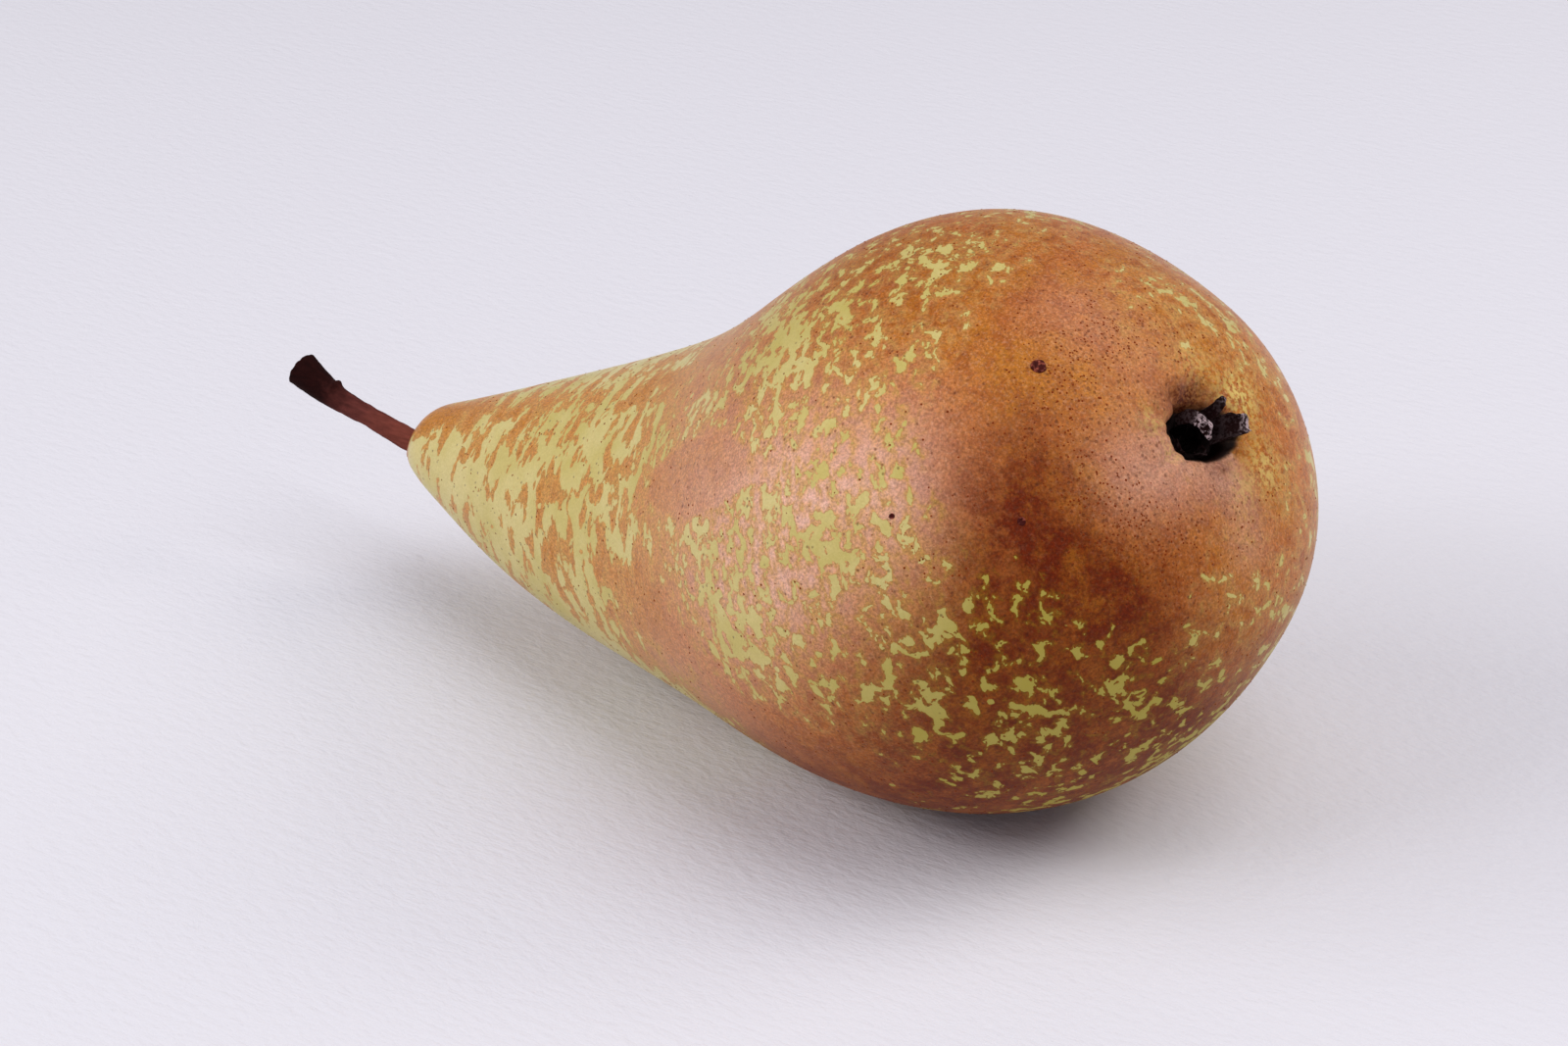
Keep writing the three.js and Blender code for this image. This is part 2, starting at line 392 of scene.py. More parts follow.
def capRing(cap, polar, angles):
    # A ring of the plain cap at this angle from the axis, seen from the belly. The rings turn bit
    # by bit and grow oval, so that they close round the mouth and not round the axis.
    centre, along, _, _ = mouthFrame(True)
    reach = body["axisLength"] - mouth["bellyStation"]
    spread = reach * math.tan(min(polar, mouth["widestPolar"]))
    oval = 1 + (1 - smoothstep(*mouth["ovalFade"], spread)) * (math.sqrt(mouth["stretch"]) - 1)
    longAxis = unit(along[1:])
    shortAxis = np.array([-longAxis[1], longAxis[0]])
    circle = np.stack([np.sin(angles), np.cos(angles)], -1) * math.sin(polar)
    offset = np.outer(circle @ longAxis * oval, longAxis) + np.outer(circle @ shortAxis / oval, shortAxis)
    tilt = math.atan2(np.linalg.norm(centre[1:]), reach) * (1 - smoothstep(*mouth["tiltFade"], polar))
    side = unit(centre[1:])
    inSide = offset @ side
    forward = math.cos(polar) * math.cos(tilt) - inSide * math.sin(tilt)
    turnedSide = inSide * math.cos(tilt) + math.cos(polar) * math.sin(tilt)
    offset = offset + np.outer(turnedSide - inSide, side)
    newPolar = np.arctan2(np.linalg.norm(offset, axis=1), forward)
    newAngle = np.arctan2(offset[:, 0], offset[:, 1])
    polars = np.arctan2(cap[:, 1], cap[:, 0] - mouth["bellyStation"])
    station = np.interp(newPolar, polars[::-1], cap[::-1, 0])
    radius = np.interp(newPolar, polars[::-1], cap[::-1, 1])
    return sectionPoint(station, radius, newAngle)


def fromWornSide(turns):
    # angles from the middle of the mouth's worn side, between minus and plus half a turn
    return (turns - mouth["wornTurn"] + math.pi) % (2 * math.pi) - math.pi


def shapeMouth(ring, size, depth):
    # turns the plain cap into lip, puckers and cup wall; size is half of the short axis there
    centre, along, across, out = mouthFrame(True)
    inLong, inShort = (ring - centre) @ along, (ring - centre) @ across
    turns = np.arctan2(inShort, inLong / mouth["stretch"])
    wide = mouth["shift"] + sineWaves(turns, mouth["oval"])
    wide *= 1 - smoothstep(*mouth["ovalReach"], size)
    wide *= 1 - smoothstep(*mouth["ovalDepth"], depth)
    ring = ring + np.outer(inLong * wide, along) + np.outer(inShort * wide, across)
    wearAndShade = smoothstep(*mouth["wornReach"], size) * np.exp(-(fromWornSide(turns) / mouth["wornSpread"]) ** 2)
    down = mouth["wornDepth"] * wearAndShade * (1 - smoothstep(*mouth["wornEnd"], depth))
    if depth == 0:
        inward = min(max(mouth["lipOuter"] - size, 0) / mouth["lipRadius"], mouth["lipSteepest"])
        down = down + mouth["lipRadius"] * (1 - math.sqrt(1 - inward ** 2))
        fading = np.exp(-((size - mouth["puckersAt"]) / mouth["puckerReach"]) ** 2)
        down = down + mouth["puckerHeight"] * sineWaves(turns, mouth["puckers"]) * fading
    down = np.minimum(down + depth, mouth["floorDepth"] - mouth["floorGap"])
    return ring - np.outer(down, out)


def capRings(outline, angles):
    centre, _, _, out = mouthFrame(True)
    reach = body["axisLength"] - mouth["bellyStation"]
    shrink = 1 / math.sqrt(mouth["stretch"])
    cap = outline[outline[:, 0] >= mouth["bellyStation"]]
    step, outer = mouth["ringStep"], mouth["lipOuter"]
    steps = []
    for polar in np.arctan2(cap[:, 1], cap[:, 0] - mouth["bellyStation"]):
        size = reach * math.tan(min(polar, mouth["widestPolar"])) * shrink
        if size > outer + 7.5 * step:
            steps.append((polar, size, 0))
    slope = np.arange(outer + 6.5 * step, outer + 0.5 * step, -step)
    lip = np.linspace(outer, mouth["lipInner"], mouth["lipRings"])
    for size, depth in [(size, 0) for size in np.concatenate([slope, lip])] + mouth["wall"]:
        steps.append((math.atan2(size / shrink, reach), size, depth))
    rings = []
    for polar, size, depth in steps:
        ring = capRing(cap, polar, angles)
        away = np.linalg.norm(ring - centre - mouth["basinDepth"] * out, axis=1)
        sink = mouth["basinDepth"] * np.exp(-(away / mouth["basinRadius"]) ** 2)
        if size < mouth["shapedWithin"]:
            ring = shapeMouth(ring, size, depth)
        rings.append(ring - np.outer(sink, out))
    return rings


def fruitHost():
    outline = smoothOutline(body["outline"], int(body["outlineLength"] / body["ringStep"]))
    angles = evenTurns(body["sides"])
    rings = tipRings(outline, angles) + bodyRings(outline, angles) + capRings(outline, angles)
    centre, _, _, out = mouthFrame(True)
    hole = collar["hole"][0][0]
    first = [hole, 0, collar["stemCentre"] + collar["stemSlope"] * hole]
    return closeRings(first, rings, centre - mouth["floorDepth"] * out)


# Where the skin shows through the russet net, where it is flushed and freckled, and where painted shade and
# painted highlight lie on it.
skin = {
    "streakFade": (40, 72),  # stations between which the neck's streaks turn into the belly's blots
    "unevenness": 0.09,  # spread of the noise that tears the russet
    "neckShare": 0.64,  # share of the skin that the russet leaves bare, on the neck and on the belly
    "bellyShare": 0.07,
    "shoulder": (92, 102),  # past these stations the russet is almost closed
    "shoulderLoss": 0.9,
    "leastRadius": 4,  # zones count at least this far from the axis, so that none ends in a point
    "tipClosed": (0.2, 3.0),
    "mouthClosed": (6.0, 12.0),
    "shareLimits": (0.0005, 0.9),
    "shareSlope": 1.7,  # fits the logistic curve to the noise's own spread
    "calyxHalf": 60,  # the station past which the mouth counts
    "calyxFade": (60, 90),
    "tipFade": (0.3, 3.0),  # the tip's russet, darkened with painted shade, ends between these stations
    "tipLip": (1.9, 0.5),  # distance from the stalk's axis, reach
    "creaseShade": (1.3, 262, 0.25, 32),  # painted shade in the crease by the collar: station, degrees, reach along, reach in degrees
    "looseFrom": (2.0, 12.0),  # the lumps and dents stay away from the tip
    "zones": {
        "patches": [  # station, degrees round the axis, reach along, reach around, change of that share
            (5, 272, 9, 13, 0.22), (20, 312, 9, 6, 0.25), (34, 307, 8, 6, 0.15), (44, 317, 7, 7, 0.3),
            (60, 314, 7, 5, 0.25), (34, 243, 12, 8, 0.25), (54, 240, 8, 8, 0.45), (74, 273, 8, 8, 0.4),
            (60, 290, 7, 4, 0.2), (74, 288, 9, 4, 0.24), (90, 306, 5, 4.5, 0.18), (86, 289, 6, 4, 0.2),
            (75, 326, 9, 9, 0.45), (84, 320, 6, 6, 0.2), (94, 280, 8, 6, 0.12), (100, 203, 9, 16, 0.18),
            (98, 232, 9, 12, 0.12), (92, 258, 9, 9, 0.15), (102, 262, 4, 7, 0.1), (84, 343, 9, 10, 0.2),
            (96, 340, 6, 9, 0.1), (110, 20, 4, 9, 0.15), (84, 60, 14, 18, 0.25), (94, 110, 14, 20, 0.25),
            (78, 150, 14, 18, 0.3), (56, 95, 16, 14, 0.25), (100, 165, 8, 14, 0.2),
        ],
        "barePatches": [  # the same, where the russet is more closed
            (12, 333, 14, 5, 0.4), (34, 335, 14, 5, 0.32), (52, 334, 9, 8, 0.3), (24, 288, 10, 5, 0.12),
            (34, 264, 8, 6, 0.15), (52, 264, 8, 12, 0.42), (64, 246, 16, 14, 0.2), (62, 302, 11, 5, 0.6),
            (106, 290, 8, 30, 0.1), (0, 0, 2, 60, 0.6), (4, 338, 8, 5, 0.6),
        ],
        "blushAndShade": [  # a deeper red brown: the russet's own flush and painted shade below
            (103, 246, 6, 10, 0.85), (104.5, 272, 4.8, 10, 0.95), (106.5, 299, 3.4, 6, 0.4),
            (109, 249, 3, 6, 0.35), (101, 294, 4, 8, 0.25), (94, 226, 13, 20, 0.7), (89, 256, 8, 8, 0.25),
            (78, 234, 16, 16, 0.45), (80, 195, 20, 18, 0.8), (62, 232, 14, 8, 0.4), (96, 200, 12, 18, 0.5),
            (88, 346, 18, 16, 0.45), (97, 264, 6, 7, 0.3),
        ],
        "paleAndHighlight": [  # a pinkish, greyer russet, with a painted highlight on the waist and by the calyx
            (66, 303, 14, 14, 0.3), (84, 291, 10, 11, 1.0), (72, 278, 9, 8, 0.6), (95, 296, 5, 8, 0.5),
            (56, 246, 12, 8, 0.4), (112.7, 286, 2.4, 5, 0.55), (108, 346, 5, 6, 0.2),
            (113.3, 205, 1.0, 3.5, 0.35),
        ],
        "pores": [  # where lenticels and dark specks stand thick
            (111, 322, 5, 9, 1.0), (111, 285, 4.5, 8, 0.9), (109, 262, 5, 9, 0.4), (113, 350, 4, 9, 0.4),
        ],
    },
}


def sumZones(rows, station, degrees, radius):
    total = np.zeros_like(station)
    for at, towards, reach, spread, strength in rows:
        around = np.radians((degrees - towards + 180) % 360 - 180) * np.maximum(radius, skin["leastRadius"])
        total += strength * np.exp(-((station - at) / reach) ** 2 - (around / spread) ** 2)
    return total


def markSkin(mesh, place):
    # place is each point before the axis bends: station, beside, above, in millimetres
    station = place[:, 0]
    radius = np.hypot(place[:, 1], place[:, 2])
    degrees = np.degrees(np.arctan2(place[:, 1], place[:, 2])) % 360
    centre, along, across, out = mouthFrame(True)
    local = place - centre
    inLong, inShort, depth = local @ along, local @ across, local @ out
    size = np.hypot(inLong / mouth["stretch"], inShort)
    turns = np.arctan2(inShort, inLong / mouth["stretch"])
    nearEnd = smoothstep(*skin["calyxFade"], station)
    mouthSize = np.where(station > skin["calyxHalf"], size, np.inf)
    sums = {name: sumZones(rows, station, degrees, radius) for name, rows in skin["zones"].items()}

    # how much of the skin is bare, and how high the noise has to stand for the russet to be torn
    neck = 1 - smoothstep(*skin["streakFade"], station)
    share = skin["bellyShare"] + (skin["neckShare"] - skin["bellyShare"]) * neck
    share = share * (1 - skin["shoulderLoss"] * smoothstep(*skin["shoulder"], station))
    share = share + sums["patches"] - sums["barePatches"]
    share = share * smoothstep(*skin["tipClosed"], station) * smoothstep(*skin["mouthClosed"], mouthSize)
    share = np.clip(share, *skin["shareLimits"])
    tearLevel = 0.5 - skin["unevenness"] * np.log(share / (1 - share)) / skin["shareSlope"]

    # painted shade in and round the cup, painted shade on the mouth's worn side and in a spot beside it, and
    # the golden fringe
    inCupShade = (inLong - mouth["cupShadeShift"]) / mouth["cupShadeStretch"]
    cupShade = smoothstep(*mouth["cupShadeEdge"], np.hypot(inCupShade, inShort - mouth["cupShadeAside"]))
    cupShade *= np.maximum(smoothstep(*mouth["cupShadeDepth"], depth), smoothstep(*mouth["cupShadePast"], inLong))
    wearAndShade = np.exp(-(fromWornSide(turns) / mouth["slopeShadeSpread"]) ** 2) * smoothstep(*mouth["slopeShadeReach"], size)
    atLong, atShort, reachLong, reachShort, strength = mouth["slopeShadeSpot"]
    slopeShadeSpot = strength * np.exp(-((inLong - atLong) / reachLong) ** 2 - ((inShort - atShort) / reachShort) ** 2)
    gold = np.zeros_like(station)
    for atLong, atShort, reach, strength in mouth["golden"]:
        gold += strength * np.exp(-((inLong - atLong) ** 2 + (inShort - atShort) ** 2) / reach ** 2)

    # painted shade over the russet of the blunt tip round the stalk, but for its lip, and painted shade in
    # the crease beside it
    tip = 1 - smoothstep(*skin["tipFade"], station)
    fromStalk = np.hypot(place[:, 1], place[:, 2] - collar["stemCentre"])
    lip = np.exp(-((fromStalk - skin["tipLip"][0]) / skin["tipLip"][1]) ** 2)
    at, towards, reach, spread = skin["creaseShade"]
    creaseShade = np.exp(-((station - at) / reach) ** 2 - ((degrees - towards) / spread) ** 2)

    addAttribute(mesh, "skinPlace", place)
    addAttribute(mesh, "tearLevel", tearLevel)
    shares = {
        "bareShare": share, "streaks": neck, "blushAndShade": sums["blushAndShade"], "paleAndHighlight": sums["paleAndHighlight"],
        "pores": sums["pores"], "cupShade": nearEnd * cupShade, "wearAndShade": nearEnd * np.maximum(wearAndShade, slopeShadeSpot),
        "gold": nearEnd * gold,
        "tipShade": np.maximum(tip * (1 - 0.9 * lip), creaseShade),
        "loose": smoothstep(*skin["looseFrom"], station) * smoothstep(*skin["mouthClosed"], mouthSize),
    }
    for name, values in shares.items():
        addAttribute(mesh, name, np.clip(values, 0, 1))


def bendTree():
    # bends the straight body along its arc, adds the low lumps and dents of grown flesh, and
    # presses the lowest skin flat
    tree, given = newTree("bendAndSwell", {
        "Axis Length": "Float", "Axis Tilt": "Float", "Axis Bend": "Float", "Axis Start": "Vector",
        "Lump Height": "Float", "Lump Size": "Float", "Dent Height": "Float", "Dent Size": "Float",
        "Skin": "Material",
    })
    place = addNode(tree, "GeometryNodeInputPosition").outputs[0]
    parts = addNode(tree, "ShaderNodeSeparateXYZ", {0: place}).outputs
    bendRadius = addNode(tree, "ShaderNodeMath", {0: given["Axis Length"], 1: given["Axis Bend"]},
                         operation="DIVIDE").outputs[0]
    turned = addNode(tree, "ShaderNodeMath", {0: parts[0], 1: bendRadius}, operation="DIVIDE").outputs[0]
    slope = addNode(tree, "ShaderNodeMath", {0: turned, 1: given["Axis Tilt"]}, operation="ADD").outputs[0]
    reach = addNode(tree, "ShaderNodeMath", {0: parts[2], 1: bendRadius}, operation="SUBTRACT").outputs[0]
    arm = addNode(tree, "ShaderNodeCombineXYZ", {1: parts[1], 2: reach}).outputs[0]
    upright = addNode(tree, "ShaderNodeCombineXYZ", {2: bendRadius}).outputs[0]
    swung = []
    for vector, angle in ((arm, slope), (upright, given["Axis Tilt"])):
        backwards = addNode(tree, "ShaderNodeMath", {0: angle, 1: -1.0}, operation="MULTIPLY").outputs[0]
        swung.append(addNode(tree, "ShaderNodeVectorRotate", {"Vector": vector, "Angle": backwards},
                             rotation_type="Y_AXIS").outputs[0])
    fromPivot = addNode(tree, "ShaderNodeVectorMath", {0: swung[0], 1: swung[1]}, operation="ADD").outputs[0]
    bent = addNode(tree, "ShaderNodeVectorMath", {0: fromPivot, 1: given["Axis Start"]},
                   operation="ADD").outputs[0]
    shape = addNode(tree, "GeometryNodeSetPosition",
                    {"Geometry": given["Geometry"], "Position": bent}).outputs[0]

    skinPlace = addNode(tree, "GeometryNodeInputNamedAttribute", {"Name": "skinPlace"},
                        data_type="FLOAT_VECTOR").outputs[0]
    loose = addNode(tree, "GeometryNodeInputNamedAttribute", {"Name": "loose"}, data_type="FLOAT").outputs[0]
    normal = addNode(tree, "GeometryNodeInputNormal").outputs[0]
    for height, size, detail in (("Lump Height", "Lump Size", 0.0), ("Dent Height", "Dent Size", 1.0)):
        scale = addNode(tree, "ShaderNodeMath", {0: 1.0, 1: given[size]}, operation="DIVIDE").outputs[0]
        noise = addNode(tree, "ShaderNodeTexNoise", {"Vector": skinPlace, "Scale": scale, "Detail": detail})
        raised = addNode(tree, "ShaderNodeMath", {0: 0.5, 1: noise.outputs[0]},
                         operation="SUBTRACT").outputs[0]
        for factor in (loose, given[height]):
            raised = addNode(tree, "ShaderNodeMath", {0: raised, 1: factor}, operation="MULTIPLY").outputs[0]
        offset = addNode(tree, "ShaderNodeVectorMath", {0: normal, "Scale": raised},
                         operation="SCALE").outputs[0]
        shape = addNode(tree, "GeometryNodeSetPosition", {"Geometry": shape, "Offset": offset}).outputs[0]

    place = addNode(tree, "GeometryNodeInputPosition").outputs[0]
    farOut = (-1e3, -1e3, 0.0)  # metres, far beyond the fruit except in height
    onTable = addNode(tree, "ShaderNodeVectorMath", {0: place, 1: farOut}, operation="MAXIMUM").outputs[0]
    shape = addNode(tree, "GeometryNodeSetPosition", {"Geometry": shape, "Position": onTable}).outputs[0]
    shape = addNode(tree, "GeometryNodeSetShadeSmooth", {"Geometry": shape}).outputs[0]
    closeTree(tree, shape, given["Skin"])
    return tree


def russetSkin():
    # Pear skin, grown: a dull corky russet layer, torn into a net where the waxy green-yellow skin
    # below it shows. The eye sees a soft satin sheen, crisp pale islands and a fine brown grain.
    # Part of the highlight and of the shade is painted into its colour.
    material, tree = newMaterial("russetPearSkin")
    place = addNode(tree, "ShaderNodeAttribute", attribute_name="skinPlace").outputs["Vector"]
    marks = {}
    for name in ("tearLevel", "bareShare", "streaks", "blushAndShade", "paleAndHighlight", "pores", "cupShade", "wearAndShade", "gold",
                 "tipShade"):
        marks[name] = addNode(tree, "ShaderNodeAttribute", attribute_name=name).outputs["Fac"]

    # noise over the skin, with scales for millimetres
    fields = {}
    for name, scale, detail, roughness in (
            ("clusters", 0.12, 2.0, 0.5), ("jags", 1.5, 2.0, 0.5), ("clouds", 0.1, 3.0, 0.6),
            ("mottle", 0.5, 4.0, 0.72), ("patchiness", 0.33, 5.0, 0.75), ("cork", 2.4, 4.0, 0.8),
            ("grain", 3.4, 3.0, 0.75), ("fringe", 1.5, 3.0, 0.65), ("slopeShadeNoise", 1.9, 3.0, 0.7)):
        fields[name] = addNode(tree, "ShaderNodeTexNoise", {
            "Vector": place, "Scale": scale, "Detail": detail, "Roughness": roughness}).outputs[0]

    # the tears: streaks round the neck, blots on the belly, both in loose clusters with jagged edges
    for name, stretch in (("streaks", (0.62, 0.3, 0.3)), ("blots", (0.7, 0.54, 0.54))):
        stretched = addNode(tree, "ShaderNodeVectorMath", {0: place, 1: stretch},
                            operation="MULTIPLY").outputs[0]
        fields[name] = addNode(tree, "ShaderNodeTexNoise", {
            "Vector": stretched, "Scale": 1.0, "Detail": 3.0, "Roughness": 0.52,
            "Distortion": 0.4}).outputs[0]
    tears = addNode(tree, "ShaderNodeMix", {
        0: marks["streaks"], 2: fields["blots"], 3: fields["streaks"]}).outputs[0]
    for name, strength in (("clusters", 0.36), ("jags", 0.16)):
        change = addNode(tree, "ShaderNodeMath", {0: fields[name], 1: strength, 2: -strength / 2},
                         operation="MULTIPLY_ADD").outputs[0]
        tears = addNode(tree, "ShaderNodeMath", {0: tears, 1: change}, operation="ADD").outputs[0]
    above = addNode(tree, "ShaderNodeMath", {0: tears, 1: marks["tearLevel"]},
                    operation="SUBTRACT").outputs[0]

    # stray round holes of half a millimetre to one near the tears, and dark specks
    cells, chance, chosen = {}, {}, {}
    for name, scale in (("hole", 0.5), ("speck", 1.3)):
        cells[name] = addNode(tree, "ShaderNodeTexVoronoi", {"Vector": place, "Scale": scale}).outputs
        chance[name] = addNode(tree, "ShaderNodeSeparateColor", {0: cells[name]["Color"]}).outputs[0]
    bent = addNode(tree, "ShaderNodeMath", {0: fields["jags"], 1: 0.3, 2: cells["hole"]["Distance"]},
                   operation="MULTIPLY_ADD").outputs[0]
    speckSize = addNode(tree, "ShaderNodeMath", {0: chance["speck"], 1: 0.12, 2: 0.08},
                        operation="MULTIPLY_ADD").outputs[0]

    # smooth steps: what each reads, from where to where it rises, and its value at either end
    steps = {}
    for name, value, low, high, atLow, atHigh in (
            ("patch", above, -0.004, 0.008, 0.0, 1.0), ("thin", above, -0.26, 0.0, 0.0, 1.0),
            ("halo", above, -0.11, 0.004, 0.0, 1.0), ("hole", bent, 0.3, 0.35, 1.0, 0.0),
            ("ochre", fields["clouds"], 0.38, 0.62, 0.0, 1.0),
            ("waxy", fields["clouds"], 0.3, 0.7, 0.0, 1.0),
            ("mottled", fields["mottle"], 0.44, 0.62, 0.0, 1.0),
            ("paleHighlightBreak", fields["patchiness"], 0.36, 0.6, 0.75, 1.0),
            ("blushShadeBreak", fields["patchiness"], 0.36, 0.6, 0.6, 1.0),
            ("flecked", fields["cork"], 0.48, 0.66, 0.0, 0.42),
            ("grainShade", fields["grain"], 0.28, 0.72, 0.66, 1.34),
            ("dusky", fields["grain"], 0.3, 0.7, 0.0, 0.3),
            ("wantedSpecks", marks["pores"], 0.0, 1.0, 0.22, 0.95),
            ("inSpeck", cells["speck"]["Distance"], speckSize, 0.27, 1.0, 0.0),
            ("goldBreak", fields["fringe"], 0.42, 0.58, 0.0, 1.0),
            ("tipBreak", fields["mottle"], 0.3, 0.75, 0.85, 0.45),
            # breaks up the painted shade on the worn slope
            ("slopeShadeBreak", fields["slopeShadeNoise"], 0.38, 0.6, 1.0, 0.45)):
        steps[name] = addNode(tree, "ShaderNodeMapRange", {
            "Value": value, "From Min": low, "From Max": high, "To Min": atLow, "To Max": atHigh},
            interpolation_type="SMOOTHSTEP").outputs[0]
    wantedHoles = addNode(tree, "ShaderNodeMath", {0: marks["bareShare"], 1: 0.55},
                          operation="MULTIPLY").outputs[0]
    for name, wanted, shape in (("hole", wantedHoles, steps["hole"]),
                                ("speck", steps["wantedSpecks"], steps["inSpeck"])):
        picked = addNode(tree, "ShaderNodeMath", {0: chance[name], 1: wanted},
                         operation="LESS_THAN").outputs[0]
        chosen[name] = addNode(tree, "ShaderNodeMath", {0: shape, 1: picked},
                               operation="MULTIPLY").outputs[0]
    patch = addNode(tree, "ShaderNodeMath", {0: steps["patch"], 1: chosen["hole"]},
                    operation="MAXIMUM").outputs[0]

    # flecks of cork, most of them where the russet is pale and painted highlight lies, and few
    # where it is flushed and painted shade lies
    fewer = addNode(tree, "ShaderNodeMath", {0: marks["blushAndShade"], 1: -0.5, 2: 0.6},
                    operation="MULTIPLY_ADD").outputs[0]
    dusting = addNode(tree, "ShaderNodeMath", {0: marks["paleAndHighlight"], 1: 0.4, 2: fewer},
                      operation="MULTIPLY_ADD").outputs[0]

    # the colours that are laid down first: russet, the bare skin, and the russet's edges round it;
    # the edges darken with painted shade where the blush lies
    grounds = {}
    for name, share, first, second in (
            ("russet", steps["ochre"], "#BA6E2C", "#B8721A"),
            ("bare", steps["waxy"], "#C8B868", "#DACB8A"),
            ("shine", marks["blushAndShade"], "#D09C5C", "#703406"),
            ("rim", marks["blushAndShade"], "#B88E42", "#8A6412")):
        grounds[name] = addNode(tree, "ShaderNodeMix", {0: share, 6: linear(first), 7: linear(second)},
                                data_type="RGBA").outputs[2]

    russet = layColours(tree, grounds["russet"], [
        (steps["mottled"], 0.6, linear("#984A0C")), (marks["streaks"], 0.5, linear("#BC8232")),
        # the pale zones: a pinkish russet with a painted highlight over it
        (marks["paleAndHighlight"], steps["paleHighlightBreak"], linear("#E4B6A0")),
        # the blush: a red flush with painted shade over it
        (marks["blushAndShade"], steps["blushShadeBreak"], linear("#641C00")),
        (steps["flecked"], dusting, linear("#DCAE8C")),
        (steps["thin"], 0.6, grounds["shine"]), (steps["halo"], 0.55, grounds["rim"])])
    russet = addNode(tree, "ShaderNodeVectorMath", {0: russet, "Scale": steps["grainShade"]},
                     operation="SCALE").outputs[0]
    # the bare skin turns olive where the blush lies: painted shade
    bare = layColours(tree, grounds["bare"], [(marks["blushAndShade"], 0.75, linear("#A0901A"))])
    bare = addNode(tree, "ShaderNodeMix", {0: steps["dusky"], 6: bare, 7: linear("#A8984C")},
                   data_type="RGBA").outputs[2]
    colour = addNode(tree, "ShaderNodeMix", {0: patch, 6: russet, 7: bare}, data_type="RGBA").outputs[2]
    colour = layColours(tree, colour, [
        (chosen["speck"], 0.55, linear("#54200A")), (marks["gold"], steps["goldBreak"], linear("#D6BC68")),
        # painted shade on the blunt tip and in its crease
        (marks["tipShade"], steps["tipBreak"], linear("#8A5438")),
        # painted shade: dark maroon on the mouth's worn slope, near black in and round the cup
        (marks["wearAndShade"], steps["slopeShadeBreak"], linear("#4C0A00")), (marks["cupShade"], 1.0, linear("#120403"))])

    # relief in millimetres: bare skin lies a little lower and smoother than the cork
    relief = addNode(tree, "ShaderNodeMath", {0: fields["grain"], 1: 0.03}, operation="MULTIPLY").outputs[0]
    for value, height in ((patch, -0.02), (chosen["speck"], -0.05)):
        relief = addNode(tree, "ShaderNodeMath", {0: value, 1: height, 2: relief},
                         operation="MULTIPLY_ADD").outputs[0]
    rough = addNode(tree, "ShaderNodeMapRange", {"Value": patch, "To Min": 0.27, "To Max": 0.24},
                    interpolation_type="SMOOTHSTEP").outputs[0]
    for value, change in ((fields["grain"], 0.14), (marks["blushAndShade"], 0.25)):
        rough = addNode(tree, "ShaderNodeMath", {0: value, 1: change, 2: rough},
                        operation="MULTIPLY_ADD").outputs[0]
    closeMaterial(tree, {
        "Base Color": colour, "Roughness": rough, "IOR": 1.31, "Specular Tint": linear("#FFDCBE"),
        "Subsurface Weight": 0.06, "Subsurface Radius": (1.0, 0.35, 0.12),
        "Subsurface Scale": 0.0015}, relief)
    return material


def makeFruit():
    points, faces = fruitHost()
    low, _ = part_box("fruit")
    lowest = fromAxis(points[:, 0], points[:, 2], points[:, 1])[:, 2].min() + body["flatDepth"]
    plain = smoothOutline(body["outline"], body["outlinePoints"])
    tip = fromAxis(plain[:, 0], -plain[:, 1] * (1 - body["sectionWiden"]), 0)[:, 0].min()
    start = np.array([low.x / mm - tip, 0, -lowest])
    piece = newPiece("fruitBody", points, faces)
    markSkin(piece.data, points)
    applyTree(piece, bendTree(), {
        "Axis Length": body["axisLength"] * mm, "Axis Tilt": body["axisTilt"],
        "Axis Bend": body["axisBend"], "Axis Start": tuple(start * mm),
        "Lump Height": body["lumpHeight"] * mm, "Lump Size": body["lumpSize"],
        "Dent Height": body["dentHeight"] * mm, "Dent Size": body["dentSize"], "Skin": russetSkin(),
    })
    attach(piece, "root")
    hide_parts("fruit")
    print("fruit body:", len(piece.data.vertices), "points, axis starts at", start.round(2))
    return piece, start


fruitBody, axisStart = makeFruit()

# The stalk, swept along its route from inside the neck to the flared end where it broke off.
stem = {
    "route": [(3.4, -1.9), (-1.8, -0.95), (-7.4, 0.4), (-13, 1.7), (-17.8, 3.9)],  # along X, up
    "radii": [1.25, 1.33, 1.22, 1.45, 2.15],
    "steps": 120,  # along the bark
    "sides": 56,
    "endRings": [0.96, 0.86, 0.68, 0.45, 0.22, 0.0],  # of the end face, as shares of its radius
    "endBulge": (0.06, 0.1),  # how far the first and the last of them stand out
    "thinnest": 1e-4,  # radius of a ring that closes an end
    "wrinkleHeight": 0.22,
    "lumpHeight": 0.3,
    "endRoughness": 0.55,
    "knobAt": 0.77,  # share of the bark's length
    "knobReach": 0.022,
    "knobHeight": 0.62,
    "knobSide": (0.26, 0.0, 0.966),  # the way it points
}


def throughPoints(points, count):
    # an even run along the smooth curve through the points
    points = np.array(points, float)
    padded = np.concatenate([[2 * points[0] - points[1]], points, [2 * points[-1] - points[-2]]])
    run = []
    spanSteps = 60
    share = np.linspace(0, 1, spanSteps, endpoint=False)[:, None]
    for before, start, end, after in zip(padded, padded[1:], padded[2:], padded[3:]):
        square = 2 * before - 5 * start + 4 * end - after
        cube = 3 * start - before - 3 * end + after
        run.append(0.5 * (2 * start + (end - before) * share + square * share ** 2 + cube * share ** 3))
    run = np.concatenate(run + [points[-1:]])
    length = np.concatenate([[0], np.cumsum(np.linalg.norm(np.diff(run, axis=0), axis=1))])
    even = np.linspace(0, length[-1], count)
    return np.stack([np.interp(even, length, run[:, k]) for k in range(run.shape[1])], 1)


